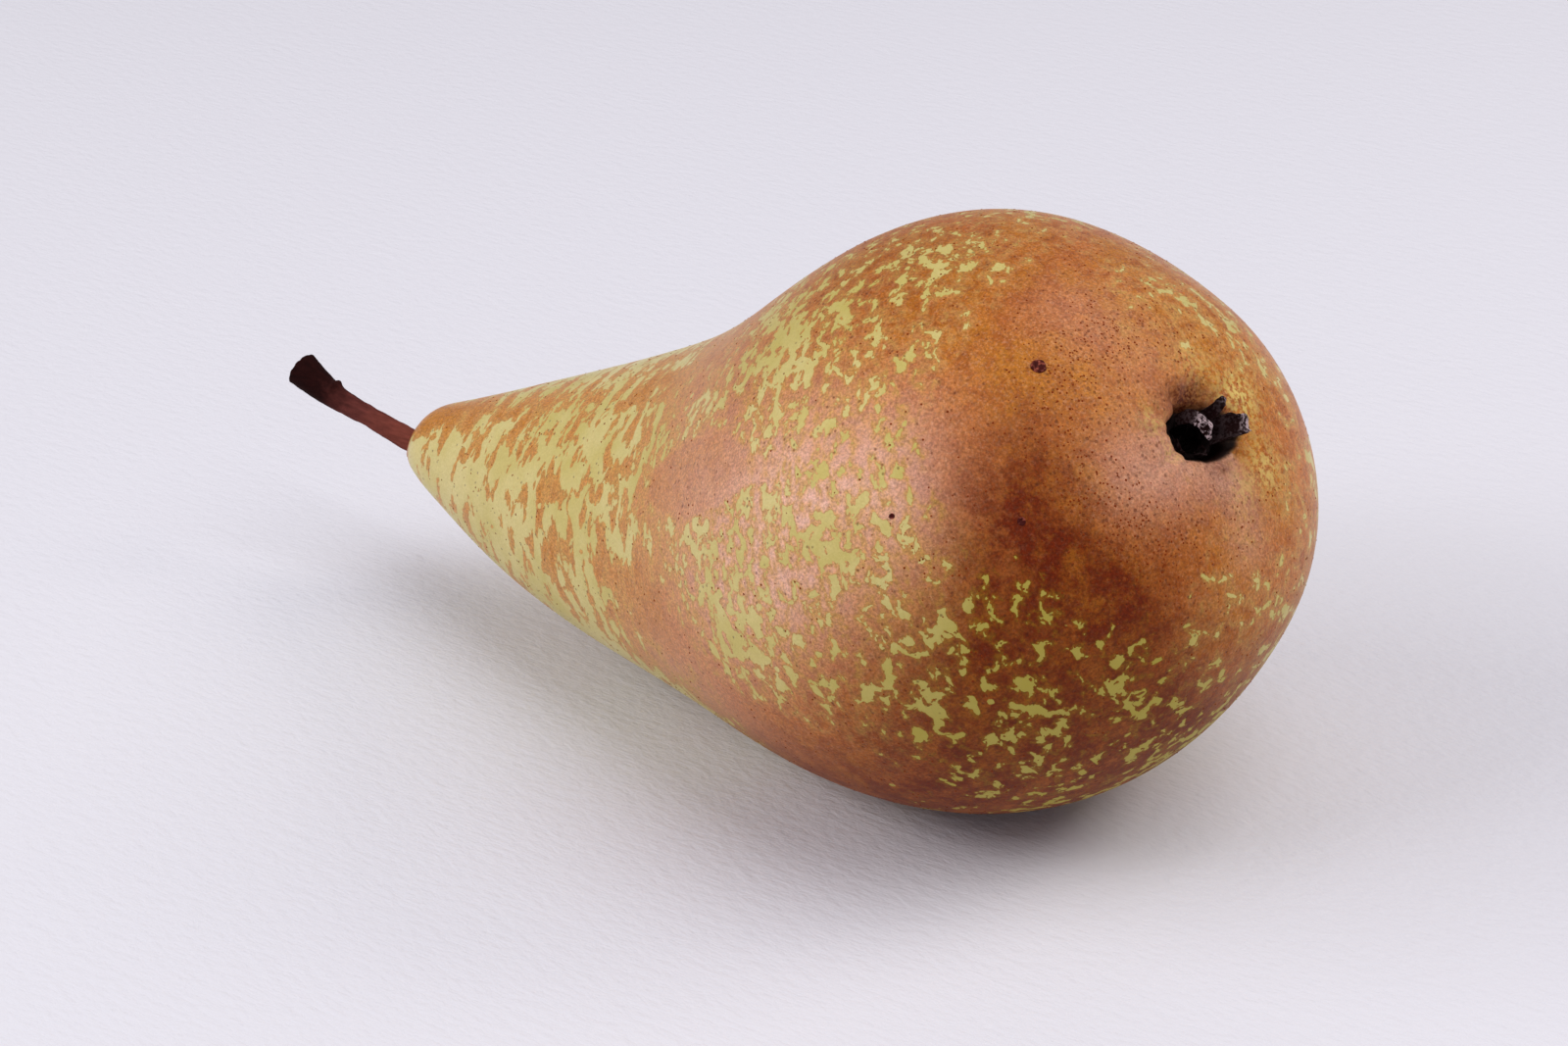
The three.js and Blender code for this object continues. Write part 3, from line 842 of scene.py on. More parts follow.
def barkTree():
    # sweeps a circle along the path by its own thickness, then wrinkles the bark, raises the knob
    # and breaks up the end face
    tree, given = newTree("barkSweep", {
        "Sides": "Int", "Wrinkle Height": "Float", "Lump Height": "Float",
        "End Roughness": "Float", "Knob At": "Float", "Knob Reach": "Float", "Knob Height": "Float",
        "Up": "Vector", "End Direction": "Vector", "Bark": "Material",
    })
    named = {}
    for name, kind in (("thickness", "FLOAT"), ("share", "FLOAT"), ("endFace", "FLOAT"),
                       ("core", "FLOAT_VECTOR")):
        named[name] = addNode(tree, "GeometryNodeInputNamedAttribute", {"Name": name},
                              data_type=kind).outputs[0]
    path = addNode(tree, "GeometryNodeMeshToCurve", {"Mesh": given["Geometry"]}).outputs[0]
    path = addNode(tree, "GeometryNodeSetCurveNormal", {"Curve": path}, mode="Z_UP").outputs[0]
    circle = addNode(tree, "GeometryNodeCurvePrimitiveCircle",
                     {"Resolution": given["Sides"], "Radius": 1.0}).outputs[0]
    shape = addNode(tree, "GeometryNodeCurveToMesh",
                    {"Curve": path, "Profile Curve": circle, "Scale": named["thickness"]}).outputs[0]
    place = addNode(tree, "GeometryNodeInputPosition").outputs[0]
    side = addNode(tree, "ShaderNodeVectorMath", {0: place, 1: named["core"]},
                   operation="SUBTRACT").outputs[0]
    outwards = addNode(tree, "ShaderNodeVectorMath", {0: side}, operation="NORMALIZE").outputs[0]

    heights = []
    for stretch, lengthwise, height in ((2.6, 2.2, "Wrinkle Height"), (0.9, 7.0, "Lump Height")):
        around = addNode(tree, "ShaderNodeVectorMath", {0: outwards, "Scale": stretch}, operation="SCALE")
        along = addNode(tree, "ShaderNodeMath", {0: named["share"], 1: lengthwise}, operation="MULTIPLY")
        shift = addNode(tree, "ShaderNodeCombineXYZ", {0: along.outputs[0]})
        at = addNode(tree, "ShaderNodeVectorMath", {0: around.outputs[0], 1: shift.outputs[0]},
                     operation="ADD")
        noise = addNode(tree, "ShaderNodeTexNoise", {"Vector": at.outputs[0], "Scale": 1.6, "Detail": 3.0})
        centred = addNode(tree, "ShaderNodeMath", {0: noise.outputs[0], 1: 0.5}, operation="SUBTRACT")
        heights.append(addNode(tree, "ShaderNodeMath", {0: centred.outputs[0], 1: given[height]},
                               operation="MULTIPLY").outputs[0])

    fromKnob = addNode(tree, "ShaderNodeMath", {0: named["share"], 1: given["Knob At"]},
                       operation="SUBTRACT").outputs[0]
    reach = addNode(tree, "ShaderNodeMath", {0: fromKnob, 1: given["Knob Reach"]},
                    operation="DIVIDE").outputs[0]
    squared = addNode(tree, "ShaderNodeMath", {0: reach, 1: reach}, operation="MULTIPLY").outputs[0]
    fading = addNode(tree, "ShaderNodeMath", {0: squared, 1: -1.0}, operation="MULTIPLY").outputs[0]
    bell = addNode(tree, "ShaderNodeMath", {0: fading}, operation="EXPONENT").outputs[0]
    upness = addNode(tree, "ShaderNodeVectorMath", {0: outwards, 1: given["Up"]},
                     operation="DOT_PRODUCT").outputs["Value"]
    onTop = addNode(tree, "ShaderNodeMapRange", {"Value": upness, "From Min": 0.62, "From Max": 0.98},
                    interpolation_type="SMOOTHSTEP").outputs[0]
    knob = addNode(tree, "ShaderNodeMath", {0: bell, 1: onTop}, operation="MULTIPLY").outputs[0]
    heights.append(addNode(tree, "ShaderNodeMath", {0: knob, 1: given["Knob Height"]},
                           operation="MULTIPLY").outputs[0])

    total = heights[0]
    for height in heights[1:]:
        total = addNode(tree, "ShaderNodeMath", {0: total, 1: height}, operation="ADD").outputs[0]
    onBark = addNode(tree, "ShaderNodeMath", {0: 1.0, 1: named["endFace"]}, operation="SUBTRACT").outputs[0]
    late = addNode(tree, "ShaderNodeMath", {0: named["share"], 1: 9.0}, operation="POWER").outputs[0]
    fibres = addNode(tree, "ShaderNodeTexNoise",
                     {"Vector": place, "Scale": 1300.0, "Detail": 2.0}).outputs[0]
    fibreHeight = addNode(tree, "ShaderNodeMath", {0: fibres, 1: given["End Roughness"]},
                          operation="MULTIPLY").outputs[0]
    for height, factor, direction in ((total, onBark, outwards),
                                      (fibreHeight, late, given["End Direction"])):
        raised = addNode(tree, "ShaderNodeMath", {0: height, 1: factor}, operation="MULTIPLY").outputs[0]
        offset = addNode(tree, "ShaderNodeVectorMath", {0: direction, "Scale": raised},
                         operation="SCALE").outputs[0]
        shape = addNode(tree, "GeometryNodeSetPosition", {"Geometry": shape, "Offset": offset}).outputs[0]
    shape = addNode(tree, "GeometryNodeMergeByDistance", {"Geometry": shape, "Distance": 2e-6}).outputs[0]
    shape = addNode(tree, "GeometryNodeSetShadeSmooth", {"Geometry": shape}).outputs[0]
    closeTree(tree, shape, given["Bark"])
    return tree


def driedBark():
    # Pear twig bark, dried on the stalk: dull, wrinkled along its length, red brown by the fruit
    # and charred-looking towards the broken end.
    material, tree = newMaterial("driedTwigBark")
    place = addNode(tree, "ShaderNodeTexCoord").outputs["Object"]
    share = addNode(tree, "ShaderNodeAttribute", attribute_name="share").outputs["Fac"]
    blotches = addNode(tree, "ShaderNodeTexNoise", {
        "Vector": place, "Scale": 420.0, "Detail": 4.0, "Roughness": 0.65}).outputs[0]
    lengthwise = addNode(tree, "ShaderNodeVectorMath", {0: place, 1: (350.0, 2200.0, 2200.0)},
                         operation="MULTIPLY").outputs[0]
    streaks = addNode(tree, "ShaderNodeTexNoise", {
        "Vector": lengthwise, "Scale": 1.0, "Detail": 3.0}).outputs[0]
    shifted = addNode(tree, "ShaderNodeMath", {0: blotches, 1: 0.36, 2: share},
                      operation="MULTIPLY_ADD").outputs[0]
    ramp = addNode(tree, "ShaderNodeValToRGB", {0: shifted})
    stops = ramp.color_ramp.elements
    stops[0].position, stops[0].color = 0.2, linear("#7A4034")
    stops[1].position, stops[1].color = 1.0, linear("#220A08")
    for position, colour in ((0.5, "#70392E"), (0.74, "#60302A"), (0.9, "#421E1A")):
        stops.new(position).color = linear(colour)
    shade = addNode(tree, "ShaderNodeMapRange", {
        "Value": streaks, "From Min": 0.3, "From Max": 0.7, "To Min": 0.72, "To Max": 1.2}).outputs[0]
    colour = addNode(tree, "ShaderNodeVectorMath", {0: ramp.outputs[0], "Scale": shade},
                     operation="SCALE").outputs[0]
    broken = addNode(tree, "ShaderNodeAttribute", attribute_name="endFace").outputs["Fac"]
    colour = addNode(tree, "ShaderNodeMix", {0: broken, 6: colour, 7: linear("#5C342A")},
                     data_type="RGBA").outputs[2]
    both = addNode(tree, "ShaderNodeMath", {0: streaks, 1: blotches}, operation="ADD").outputs[0]
    closeMaterial(tree, {"Base Color": colour, "Roughness": 0.85, "IOR": 1.15}, both, 0.12, 0.8)
    return material


def makeStem():
    steps, rings = stem["steps"], np.array(stem["endRings"])
    path = throughPoints(stem["route"], steps)
    shares = np.linspace(0, 1, steps)
    knots = np.linspace(0, 1, len(stem["radii"]))
    spread = throughPoints(list(zip(knots, stem["radii"])), steps)
    radii = np.interp(shares, spread[:, 0], spread[:, 1])
    tangent = unit(path[-1] - path[-2])
    bulge = np.outer(np.linspace(*stem["endBulge"], len(rings)), tangent)
    path = np.concatenate([path, path[-1] + bulge])
    radii = np.concatenate([radii, radii[-1] * rings])
    radii[0] = 0.0  # closes the root, deep in the neck
    core = np.stack([axisStart[0] + path[:, 0], np.zeros(len(path)), axisStart[2] + path[:, 1]], 1)
    piece = newPiece("stalk", core, [], edges=[(i, i + 1) for i in range(len(core) - 1)])
    mesh = piece.data
    addAttribute(mesh, "core", core * mm)
    addAttribute(mesh, "thickness", np.maximum(radii, stem["thinnest"]) * mm)
    addAttribute(mesh, "share", np.concatenate([shares, np.ones(len(rings))]))
    addAttribute(mesh, "endFace", np.concatenate([[1], np.zeros(steps - 1), np.ones(len(rings))]))
    applyTree(piece, barkTree(), {
        "Sides": stem["sides"], "Wrinkle Height": stem["wrinkleHeight"] * mm,
        "Lump Height": stem["lumpHeight"] * mm, "End Roughness": stem["endRoughness"] * mm,
        "Knob At": stem["knobAt"], "Knob Reach": stem["knobReach"], "Knob Height": stem["knobHeight"] * mm,
        "Up": stem["knobSide"], "End Direction": (tangent[0], 0.0, tangent[1]), "Bark": driedBark(),
    })
    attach(piece, "root")
    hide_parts("stem")
    print("stalk:", len(piece.data.polygons), "faces")


makeStem()

# What is left of the flower: a dark lining in the cup, five dried sepals and withered stamens.
calyx = {
    "liningRadius": 2.5,
    "liningWall": 0.7,
    "liningTop": -1.1,
    "liningSides": 96,
    "liningRings": 44,
    "innerRings": 18,  # the rings after these are inside, where the wall is uneven
    "edgeHeight": 1.5,  # how far below its top the lining is ragged
    "edgeRagged": 0.35,
    "edgeWaves": 1.6,
    "edgeWorn": 0.7,
    "edgeWornSpread": 0.6,
    "wallUneven": 0.07,
    "wallWaves": 1.1,
    "liningSeeds": (5, 6),
    "floor": -4.7,
    "floorThickness": 0.8,
    "sepalRoot": -2.4,
    "sepalRise": 2.3,
    "sepals": [  # turned from the mouth's long axis, length, width, lean outwards, reach of the down on the lit tip
        (-7, 6.3, 2.2, 115, 1.05), (50, 5.3, 1.3, 80, 0.85), (105, 6.9, 1.7, -150, 1.4),
        (212, 2.2, 1.6, 0, 0.0), (283, 1.9, 1.7, 0, 0.0),
    ],
    "sepalSides": 28,
    "sepalRings": 52,
    "sepalEnd": 0.985,  # share of the length where the last ring stands
    "thickness": 0.42,
    "curl": 0.28,
    "ribHeight": 0.16,
    "ribReach": 0.16,
    "crumple": 0.16,
    "crumpleSize": 1.1,
    "sepalSeeds": range(20, 55, 7),
    "stamens": 16,
    "stamenRing": 1.1,
    "stamenLength": 2.4,
    "stamenRadius": 0.09,
    "stamenLean": 0.35,  # radians
    "stamenSizes": (0.55, 1.15),  # the smallest and the largest, as shares
    "stamenSeed": 4,
}


def ripples(points, size, seed):
    # a smooth seeded wobble between -1 and 1 for each point, with waves of about this size
    draw = np.random.default_rng(seed)
    total = np.zeros(len(points))
    for octave in (1.0, 1.9, 3.7):
        waves = draw.normal(size=(5, 3)) * octave * 2.2 / size
        phases = draw.uniform(0, 2 * math.pi, 5)
        total += np.sin(points @ waves.T + phases).sum(1) / (3.2 * octave)
    return total


def toRow(local):
    # from the mouth's own frame to the row frame, in millimetres
    centre, along, across, out = mouthFrame(False)
    return axisStart + centre + local @ np.array([along, across, out])


def liningShell():
    # a cup with a ragged edge, in the mouth's own frame
    radius, top, floor = calyx["liningRadius"], calyx["liningTop"], calyx["floor"]
    inside = radius - calyx["liningWall"]
    profile = [
        (0.6 * radius, floor + 0.15), (0.88 * radius, floor + 1.2), (0.96 * radius, floor + 2.0),
        (radius, top - 0.7), (radius, top - 0.2), (radius - 0.12, top), (radius - 0.35, top + 0.06),
        (inside + 0.1, top), (inside, top - 0.2), (0.97 * inside, top - 0.9), (0.93 * inside, floor + 2.4),
        (0.85 * inside, floor + 1.7), (0.65 * inside, floor + 1.15), (0.35 * inside, floor + 0.9),
    ]
    turns = evenTurns(calyx["liningSides"])
    rings = []
    for i, (reach, height) in enumerate(throughPoints(profile, calyx["liningRings"])):
        ring = np.stack([reach * mouth["stretch"] * np.cos(turns), reach * np.sin(turns),
                         np.full(len(turns), height)], 1)
        ragged = smoothstep(top - calyx["edgeHeight"], top, height)
        wearAndShade = calyx["edgeWorn"] * np.exp(-((turns - mouth["wornTurn"]) / calyx["edgeWornSpread"]) ** 2)
        edge = calyx["edgeRagged"] * ripples(ring * [1, 1, 0], calyx["edgeWaves"], calyx["liningSeeds"][0])
        ring[:, 2] += ragged * (edge - wearAndShade)
        if i > calyx["innerRings"]:
            uneven = calyx["wallUneven"] * ripples(ring, calyx["wallWaves"], calyx["liningSeeds"][1])
            ring[:, :2] *= (1 + uneven)[:, None]
        rings.append(ring)
    return closeRings([0, 0, floor], rings, [0, 0, floor + calyx["floorThickness"]])


def sepalShell(turn, length, width, lean, seed):
    # a blade that rises from the lining and then leans over in an arc, curled across and ribbed
    turn, lean = math.radians(turn), math.radians(lean)
    root = calyx["liningRadius"] - calyx["liningWall"] / 2
    start = np.array([root * mouth["stretch"] * math.cos(turn), root * math.sin(turn), 0])
    outwards = unit(start)
    sideways = np.array([-outwards[1], outwards[0], 0])
    upwards = np.array([0, 0, 1.0])
    bending = max(length - calyx["sepalRise"], 1e-3)
    arc = bending / lean if lean else 0
    turns = evenTurns(calyx["sepalSides"])
    rings = []
    for share in np.linspace(0.0, calyx["sepalEnd"], calyx["sepalRings"]):
        angle = lean * min(max((share * length - calyx["sepalRise"]) / bending, 0), 1)
        straight = share * length if lean == 0 else min(share * length, calyx["sepalRise"])
        half = 0.5 * width * (1 + 0.5 * share - 0.75 * share ** 3) * math.sqrt(1 - share ** 14)
        thick = calyx["thickness"] * (1.25 - 0.6 * share) * math.sqrt(1 - share ** 12)
        x = half * np.cos(turns)
        curl = calyx["curl"] * (x / width * 2) ** 2 * width
        rib = calyx["ribHeight"] * np.exp(-(x / calyx["ribReach"]) ** 2) * (np.sin(turns) > 0)
        normal = 0.5 * thick * np.sin(turns) - curl + rib
        reach = arc * (1 - math.cos(angle)) + normal * math.cos(angle)
        height = calyx["sepalRoot"] + straight + arc * math.sin(angle) - normal * math.sin(angle)
        ring = start + np.outer(reach, outwards) + np.outer(x, sideways) + np.outer(height, upwards)
        wobble = np.stack([ripples(ring, calyx["crumpleSize"], seed + k) for k in range(3)], 1)
        rings.append(ring + calyx["crumple"] * wobble * (0.3 + 0.7 * share))
    return closeRings(rings[0].mean(0), rings, rings[-1].mean(0))


def driedFlower(name, dark, dusty, amount):
    # Dried flower tissue: brown-black and papery, with the grey down of the sepal still on it.
    # The down shows only towards the tips: the dark base is painted shade, the grey tips partly painted
    # light.
    material, tree = newMaterial(name)
    place = addNode(tree, "ShaderNodeTexCoord").outputs["Object"]
    coarse = addNode(tree, "ShaderNodeTexNoise", {
        "Vector": place, "Scale": 900.0, "Detail": 4.0, "Roughness": 0.7}).outputs[0]
    fine = addNode(tree, "ShaderNodeTexNoise", {"Vector": place, "Scale": 3200.0, "Detail": 2.0}).outputs[0]
    mixed = addNode(tree, "ShaderNodeMath", {0: coarse, 1: fine}, operation="ADD").outputs[0]
    down = addNode(tree, "ShaderNodeMapRange", {
        "Value": mixed, "From Min": 0.92, "From Max": 1.16, "To Max": amount},
        interpolation_type="SMOOTHSTEP").outputs[0]
    tip = addNode(tree, "ShaderNodeAttribute", attribute_name="tip").outputs["Fac"]
    onLitTip = addNode(tree, "ShaderNodeMapRange", {
        "Value": tip, "From Min": 0.72, "From Max": 0.95, "To Min": 0.05},
        interpolation_type="SMOOTHSTEP").outputs[0]
    down = addNode(tree, "ShaderNodeMath", {0: down, 1: onLitTip}, operation="MULTIPLY").outputs[0]
    colour = addNode(tree, "ShaderNodeMix", {0: down, 6: linear(dark), 7: linear(dusty)},
                     data_type="RGBA").outputs[2]
    closeMaterial(tree, {"Base Color": colour, "Roughness": 0.8, "IOR": 1.15}, mixed, 0.15, 0.9)
    return material


def stamenTree():
    # withered filaments, standing on an oval ring in the cup and leaning their own ways
    tree, given = newTree("stamenRing", {
        "Count": "Int", "Ring Radius": "Float", "Stretch": "Vector", "Length": "Float",
        "Thickness": "Float", "Seed": "Int", "Tissue": "Material",
    })
    ring = addNode(tree, "GeometryNodeMeshCircle", {
        "Vertices": given["Count"], "Radius": given["Ring Radius"]}).outputs[0]
    ring = addNode(tree, "GeometryNodeTransform", {"Geometry": ring, "Scale": given["Stretch"]}).outputs[0]
    length = addNode(tree, "ShaderNodeCombineXYZ", {2: given["Length"]}).outputs[0]
    lean = addNode(tree, "ShaderNodeCombineXYZ", {0: given["Ring Radius"]}).outputs[0]
    tip = addNode(tree, "ShaderNodeVectorMath", {0: length, 1: lean}, operation="SUBTRACT").outputs[0]
    filament = addNode(tree, "GeometryNodeCurvePrimitiveBezierSegment", {
        "Resolution": 6, "Start": (0, 0, 0), "Start Handle": length, "End Handle": length,
        "End": tip}).outputs[0]
    circle = addNode(tree, "GeometryNodeCurvePrimitiveCircle", {
        "Resolution": 6, "Radius": given["Thickness"]}).outputs[0]
    filament = addNode(tree, "GeometryNodeCurveToMesh", {
        "Curve": filament, "Profile Curve": circle, "Fill Caps": True}).outputs[0]
    most, (smallest, largest) = calyx["stamenLean"], calyx["stamenSizes"]
    turn = addNode(tree, "FunctionNodeRandomValue", {
        0: (-most, -most, 0.0), 1: (most, most, 6.28), "Seed": given["Seed"]}, data_type="FLOAT_VECTOR")
    size = addNode(tree, "FunctionNodeRandomValue", {2: smallest, 3: largest, "Seed": given["Seed"]})
    shape = addNode(tree, "GeometryNodeInstanceOnPoints", {
        "Points": ring, "Instance": filament, "Rotation": turn.outputs[0],
        "Scale": size.outputs[1]}).outputs[0]
    closeTree(tree, shape, given["Tissue"])
    return tree


def makeCalyx():
    sepalTissue = driedFlower("driedSepal", "#180605", "#B8A2A2", 1.0)
    # the lining: near black, its own dark brown and painted shade deep in the cup
    liningTissue = driedFlower("driedCupLining", "#0A0302", "#1E0C0A", 0.5)
    points, faces = liningShell()
    lining = newPiece("calyxLining", toRow(points), faces, [liningTissue])
    shells, litTips = [], []
    alongSepal = np.repeat(np.linspace(0, 1, calyx["sepalRings"]), calyx["sepalSides"])
    for seed, (turn, length, width, lean, down) in zip(calyx["sepalSeeds"], calyx["sepals"]):
        shells.append(sepalShell(turn, length, width, lean, seed))
        litTips.append(np.concatenate([[0], alongSepal, [1]]) * down)
    points, faces = joinShells(shells)
    sepals = newPiece("sepals", toRow(points), faces, [sepalTissue])
    addAttribute(sepals.data, "tip", np.concatenate(litTips))
    stamens = newPiece("stamens", [(0, 0, 0)], [])
    applyTree(stamens, stamenTree(), {
        "Count": calyx["stamens"], "Ring Radius": calyx["stamenRing"] * mm,
        "Stretch": (mouth["stretch"], 1.0, 1.0), "Length": calyx["stamenLength"] * mm,
        "Thickness": calyx["stamenRadius"] * mm, "Seed": calyx["stamenSeed"], "Tissue": liningTissue,
    })
    centre, along, across, out = mouthFrame(False)
    foot = (axisStart + centre + (calyx["floor"] + calyx["floorThickness"]) * out) * mm
    turn = Matrix((Vector(along), Vector(across), Vector(out))).transposed()
    stamens.data.transform(Matrix.Translation(Vector(foot)) @ turn.to_4x4())
    for piece in (lining, sepals, stamens):
        shadeSmooth(piece)
        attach(piece, "root")
        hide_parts("calyx")
    print("calyx:", sum(len(piece.data.polygons) for piece in (lining, sepals, stamens)), "faces")


makeCalyx()

# Lenticels: small corky dots that stand a little proud of the skin, thick round the calyx.
lenticels = {
    "perSquareMetre": 150000.0,
    "perSquareMetreInZones": 2300000.0,
    "smallest": 0.05,
    "largest": 0.14,
    "flatness": 0.35,
    "seed": 11,
}


def lenticelTree():
    # scatters dots over the skin, thickly where the pores are, and none at the tip or in the cup
    tree, given = newTree("lenticelScatter", {
        "Base Density": "Float", "Zone Density": "Float", "Smallest": "Float", "Largest": "Float",
        "Flatness": "Vector", "Seed": "Int", "Cork": "Material",
    })
    named = {}
    for name in ("pores", "loose"):
        named[name] = addNode(tree, "GeometryNodeInputNamedAttribute", {"Name": name},
                              data_type="FLOAT").outputs[0]
    density = addNode(tree, "ShaderNodeMath", {
        0: named["pores"], 1: given["Zone Density"], 2: given["Base Density"]},
        operation="MULTIPLY_ADD").outputs[0]
    density = addNode(tree, "ShaderNodeMath", {0: density, 1: named["loose"]},
                      operation="MULTIPLY").outputs[0]
    points = addNode(tree, "GeometryNodeDistributePointsOnFaces", {
        "Mesh": given["Geometry"], "Density": density, "Seed": given["Seed"]})
    dot = addNode(tree, "GeometryNodeMeshIcoSphere", {"Radius": 1.0, "Subdivisions": 1}).outputs[0]
    dot = addNode(tree, "GeometryNodeTransform", {"Geometry": dot, "Scale": given["Flatness"]}).outputs[0]
    dot = addNode(tree, "GeometryNodeSetShadeSmooth", {"Geometry": dot}).outputs[0]
    size = addNode(tree, "FunctionNodeRandomValue", {
        2: given["Smallest"], 3: given["Largest"], "Seed": given["Seed"]}).outputs[1]
    shape = addNode(tree, "GeometryNodeInstanceOnPoints", {
        "Points": points.outputs[0], "Instance": dot, "Rotation": points.outputs["Rotation"],
        "Scale": size}).outputs[0]
    closeTree(tree, shape, given["Cork"])
    return tree


def lenticelCork():
    # Cork of the skin's breathing pores: dry, matt and a darker brown than the russet round it.
    material, tree = newMaterial("lenticelCork")
    place = addNode(tree, "ShaderNodeTexCoord").outputs["Object"]
    noise = addNode(tree, "ShaderNodeTexNoise", {"Vector": place, "Scale": 300.0, "Detail": 2.0}).outputs[0]
    colour = addNode(tree, "ShaderNodeMix", {0: noise, 6: linear("#6E2408"), 7: linear("#8E4014")},
                     data_type="RGBA").outputs[2]
    shader = addNode(tree, "ShaderNodeBsdfPrincipled", {"Base Color": colour, "Roughness": 0.8, "IOR": 1.15})
    addNode(tree, "ShaderNodeOutputMaterial", {"Surface": shader.outputs[0]})
    return material


def makeLenticels():
    piece = bpy.data.objects.new("lenticels", fruitBody.data.copy())
    piece.data.name = "lenticels"
    piece.data.materials.clear()
    bpy.context.scene.collection.objects.link(piece)
    applyTree(piece, lenticelTree(), {
        "Base Density": lenticels["perSquareMetre"], "Zone Density": lenticels["perSquareMetreInZones"],
        "Smallest": lenticels["smallest"] * mm, "Largest": lenticels["largest"] * mm,
        "Flatness": (1.0, 1.0, lenticels["flatness"]), "Seed": lenticels["seed"], "Cork": lenticelCork(),
    })
    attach(piece, "root")
    print("lenticels:", len(piece.data.polygons), "faces")


makeLenticels()


# Scabs: healed nicks in the skin, each a low round crust with a raised rim that is open at one side.
scabs = {
    "spots": [  # station, degrees round the axis, distance from the axis, radius, rim height
        (106.4, 322.0, 21.5, 0.74, 0.24), (94.0, 289.0, 30.2, 0.28, 0.1),
        (104.1, 281.9, 23.4, 0.4, 0.12),
    ],
    "rings": 16,
    "sides": 40,
    "depth": 0.25,  # how far the crust reaches into the skin
    "lift": 0.35,  # share of the rim's height that the middle stands at
    "rimAt": 0.72,  # share of the radius
    "rimReach": 0.26,
    "openTowards": 2.4,  # where the rim is open, in radians
    "roughness": 0.22,
    "roughnessSeed": 50,
    "edgeRagged": 0.1,
    "edgeSeed": 60,
}


def crustMaterial():
    # Dried sap and cork over a nick: dark maroon, cracked, a little shiny.
    material, tree = newMaterial("scabCrust")
    place = addNode(tree, "ShaderNodeTexCoord").outputs["Object"]
    noise = addNode(tree, "ShaderNodeTexNoise", {"Vector": place, "Scale": 2200.0, "Detail": 2.0}).outputs[0]
    flecks = addNode(tree, "ShaderNodeMapRange", {"Value": noise, "From Min": 0.5, "From Max": 0.72},
                     interpolation_type="SMOOTHSTEP").outputs[0]
    colour = addNode(tree, "ShaderNodeMix", {0: flecks, 6: linear("#42100A"), 7: linear("#9A4E3C")},
                     data_type="RGBA").outputs[2]
    closeMaterial(tree, {"Base Color": colour, "Roughness": 0.6, "IOR": 1.2}, noise, 0.1, 0.7)
    return material


def makeScabs():
    sides, depth = scabs["sides"], scabs["depth"]
    turns = evenTurns(sides)
    rimShare = 0.6 + 0.4 * np.cos(turns - scabs["openTowards"] - math.pi)
    profile = [(0.55, -depth), (0.9, -depth), (1.06, -0.5 * depth), (1.05, 0.0)]
    profile += [(share, None) for share in np.linspace(0.99, 0.06, scabs["rings"])]
    shells = []
    for i, (station, degrees, distance, radius, rim) in enumerate(scabs["spots"]):
        towards = math.radians(degrees)
        near = axisStart + fromAxis(station, distance * math.cos(towards), distance * math.sin(towards))
        _, place, normal, _ = fruitBody.closest_point_on_mesh(Vector(near) * mm)
        place, normal = np.array(place) / mm, np.array(normal)
        side = unit(np.cross(normal, [0, 0, 1.0]))
        other = np.cross(normal, side)
        onEdge = np.stack([np.cos(turns), np.sin(turns), np.full(sides, i)], 1)
        edge = 1 + scabs["edgeRagged"] * ripples(onEdge, 1.2, scabs["edgeSeed"])
        rings = []
        for share, height in profile:
            x, y = share * radius * np.cos(turns), share * radius * np.sin(turns)
            if height is None:
                crust = math.exp(-((share - scabs["rimAt"]) / scabs["rimReach"]) ** 2) * rimShare
                flat = np.stack([x, y, np.full(sides, 3.0 * i)], 1)
                rough = scabs["roughness"] * ripples(flat, 0.6 * radius, scabs["roughnessSeed"])
                height = rim * (crust + scabs["lift"] + rough)
            rings.append(place + np.outer(x * edge, side) + np.outer(y * edge, other)
                         + np.outer(np.broadcast_to(height, sides), normal))
        shells.append(closeRings(place - depth * normal, rings, rings[-1].mean(0)))
    points, faces = joinShells(shells)
    piece = newPiece("scabs", points, faces, [crustMaterial()])
    shadeSmooth(piece)
    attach(piece, "root")
    print("scabs:", len(piece.data.polygons), "faces")


makeScabs()


def heavyPaper():
    # Heavy drawing paper, mould made: matt and cool white, with a fine felt grain.
    material, tree = newMaterial("mouldMadePaper")
    place = addNode(tree, "ShaderNodeTexCoord").outputs["Object"]
    ribs = addNode(tree, "ShaderNodeVectorMath", {0: place, 1: (420.0, 900.0, 1.0)},
                   operation="MULTIPLY").outputs[0]
    felt = addNode(tree, "ShaderNodeTexNoise", {
        "Vector": ribs, "Scale": 1.0, "Detail": 3.0, "Roughness": 0.6}).outputs[0]
    closeMaterial(tree, {"Base Color": linear("#E1E1E4"), "Roughness": 0.85}, felt, 0.3, 0.7)
    return material


sheet = 3000.0  # half of its width: it runs far past the view
corners = [(-sheet, -sheet, 0), (sheet, -sheet, 0), (sheet, sheet, 0), (-sheet, sheet, 0)]
floor = newPiece("paperFloor", corners, [(0, 1, 2, 3)], [heavyPaper()])

# The view: the camera stands in front of the calyx end, to the right, and looks down on the fruit.
view = {
    "place": (257.11, -281.71, 187.58),  # from the start of the fruit's axis
    "forward": (-0.5184, 0.7159, -0.4677),
    "right": (0.8163, 0.5772, -0.0212),
    "lens": 82.04,
    "sensorWidth": 36,
    "clipStart": 0.01,
}


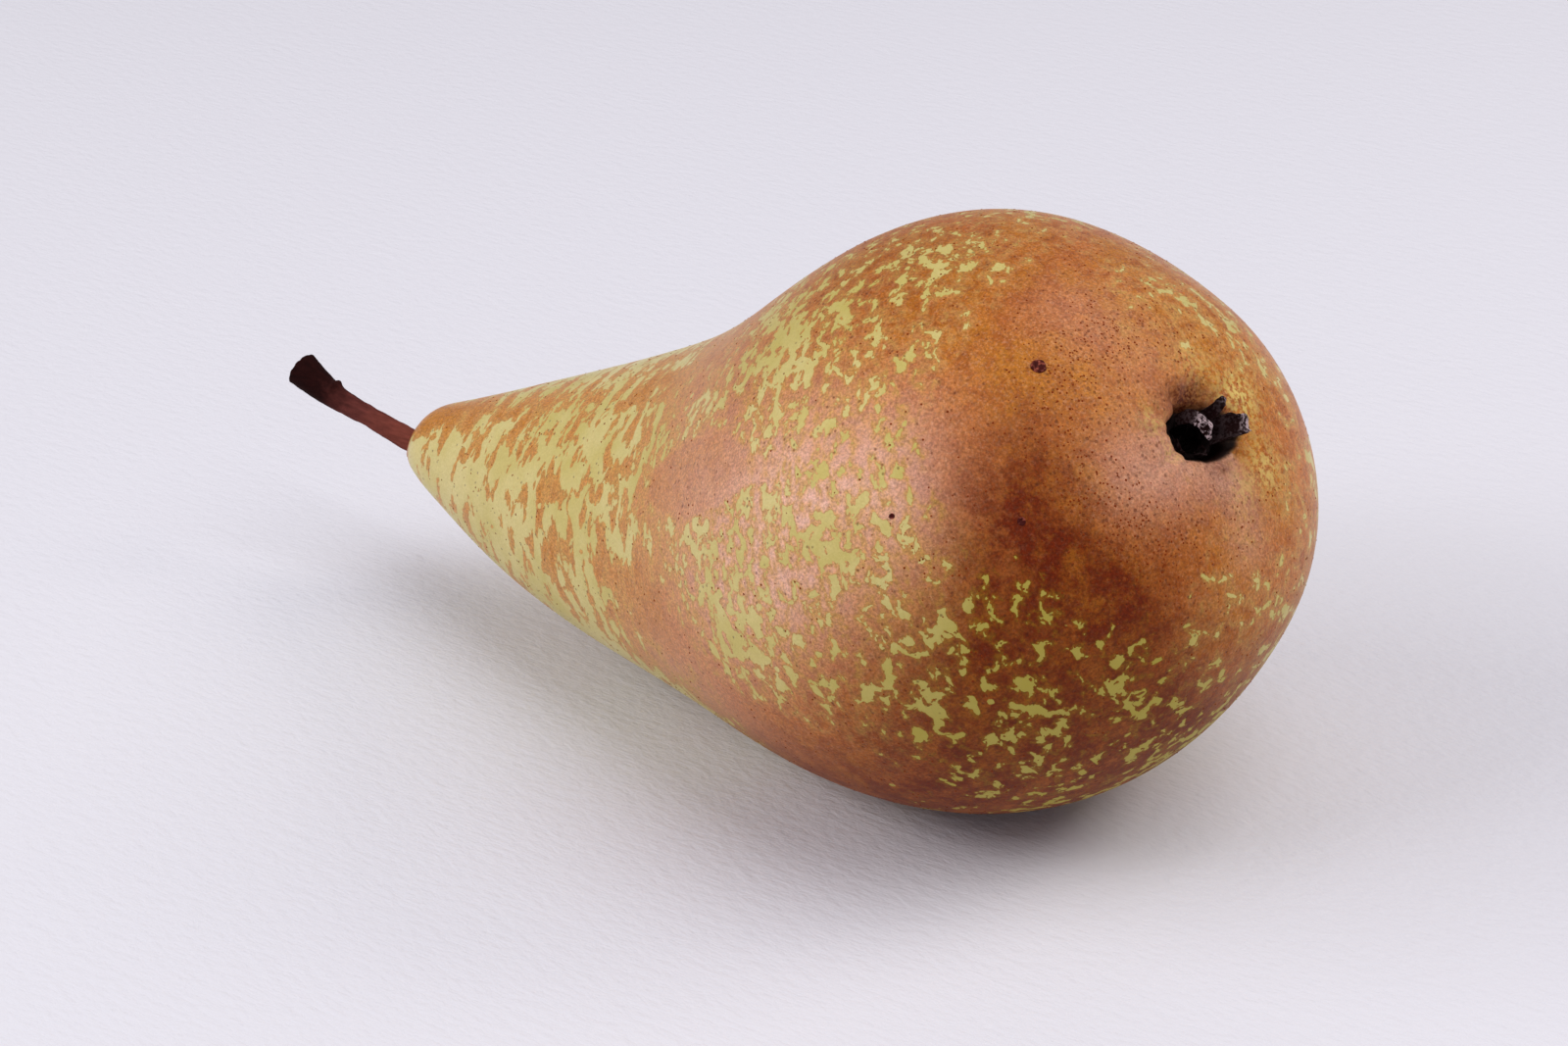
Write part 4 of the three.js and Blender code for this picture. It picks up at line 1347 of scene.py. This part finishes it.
def makeCamera():
    data = bpy.data.cameras.new("camera")
    data.lens = view["lens"]
    data.sensor_width = view["sensorWidth"]
    data.clip_start = view["clipStart"]
    camera = bpy.data.objects.new("camera", data)
    bpy.context.scene.collection.objects.link(camera)
    forward = Vector(view["forward"]).normalized()
    right = Vector(view["right"])
    right = (right - forward * right.dot(forward)).normalized()
    turn = Matrix((right, right.cross(forward), -forward)).transposed()
    place = Vector(axisStart * mm) + Vector(view["place"]) * mm
    camera.matrix_world = Matrix.Translation(place) @ turn.to_4x4()
    bpy.context.scene.camera = camera


# Soft light: a large box high on the right, one at the left with a smaller one in front of it for
# the sheen on the belly, one further back on the right for the calyx end, and a weak one overhead.
studio = {
    "middle": (0.01, 0, 0.03),  # what the lights are turned to, in metres
    "distance": 1.1,
    "boxes": [  # name, azimuth and height in degrees, size in metres, power in watts, colour
        ("highRightBox", 0, 60, 0.8, 6.0, "#FAFAFF"), ("leftBox", 215, 30, 0.6, 3.9, "#FFFBFA"),
        ("sheenBox", 245, 37, 0.32, 2.3, "#FAF8FF"), ("backBox", 44, 40, 0.4, 2.4, "#FFF4EC"),
        ("overheadBox", 0, 89, 0.5, 0.8, "#F0F0FF"),
    ],
    "roomLight": "#F2EFFF",
    "roomStrength": 0.34,
}


def makeLights():
    for name, azimuth, height, size, power, tint in studio["boxes"]:
        data = bpy.data.lights.new(name, "AREA")
        data.shape = "SQUARE"
        data.size = size
        data.energy = power
        data.color = linear(tint)[:3]
        light = bpy.data.objects.new(name, data)
        bpy.context.scene.collection.objects.link(light)
        azimuth, height = math.radians(azimuth), math.radians(height)
        level = math.cos(height)
        towards = Vector((level * math.cos(azimuth), level * math.sin(azimuth), math.sin(height)))
        place = Matrix.Translation(Vector(studio["middle"]) + towards * studio["distance"])
        light.matrix_world = place @ towards.to_track_quat("Z", "Y").to_matrix().to_4x4()
    world = bpy.data.worlds.new("studio")
    world.use_nodes = True
    background = world.node_tree.nodes["Background"]
    background.inputs["Color"].default_value = linear(studio["roomLight"])
    background.inputs["Strength"].default_value = studio["roomStrength"]
    bpy.context.scene.world = world
    bpy.context.scene.view_settings.view_transform = "Standard"


makeCamera()
makeLights()
print("paper, camera and", len(studio["boxes"]), "lights are set")
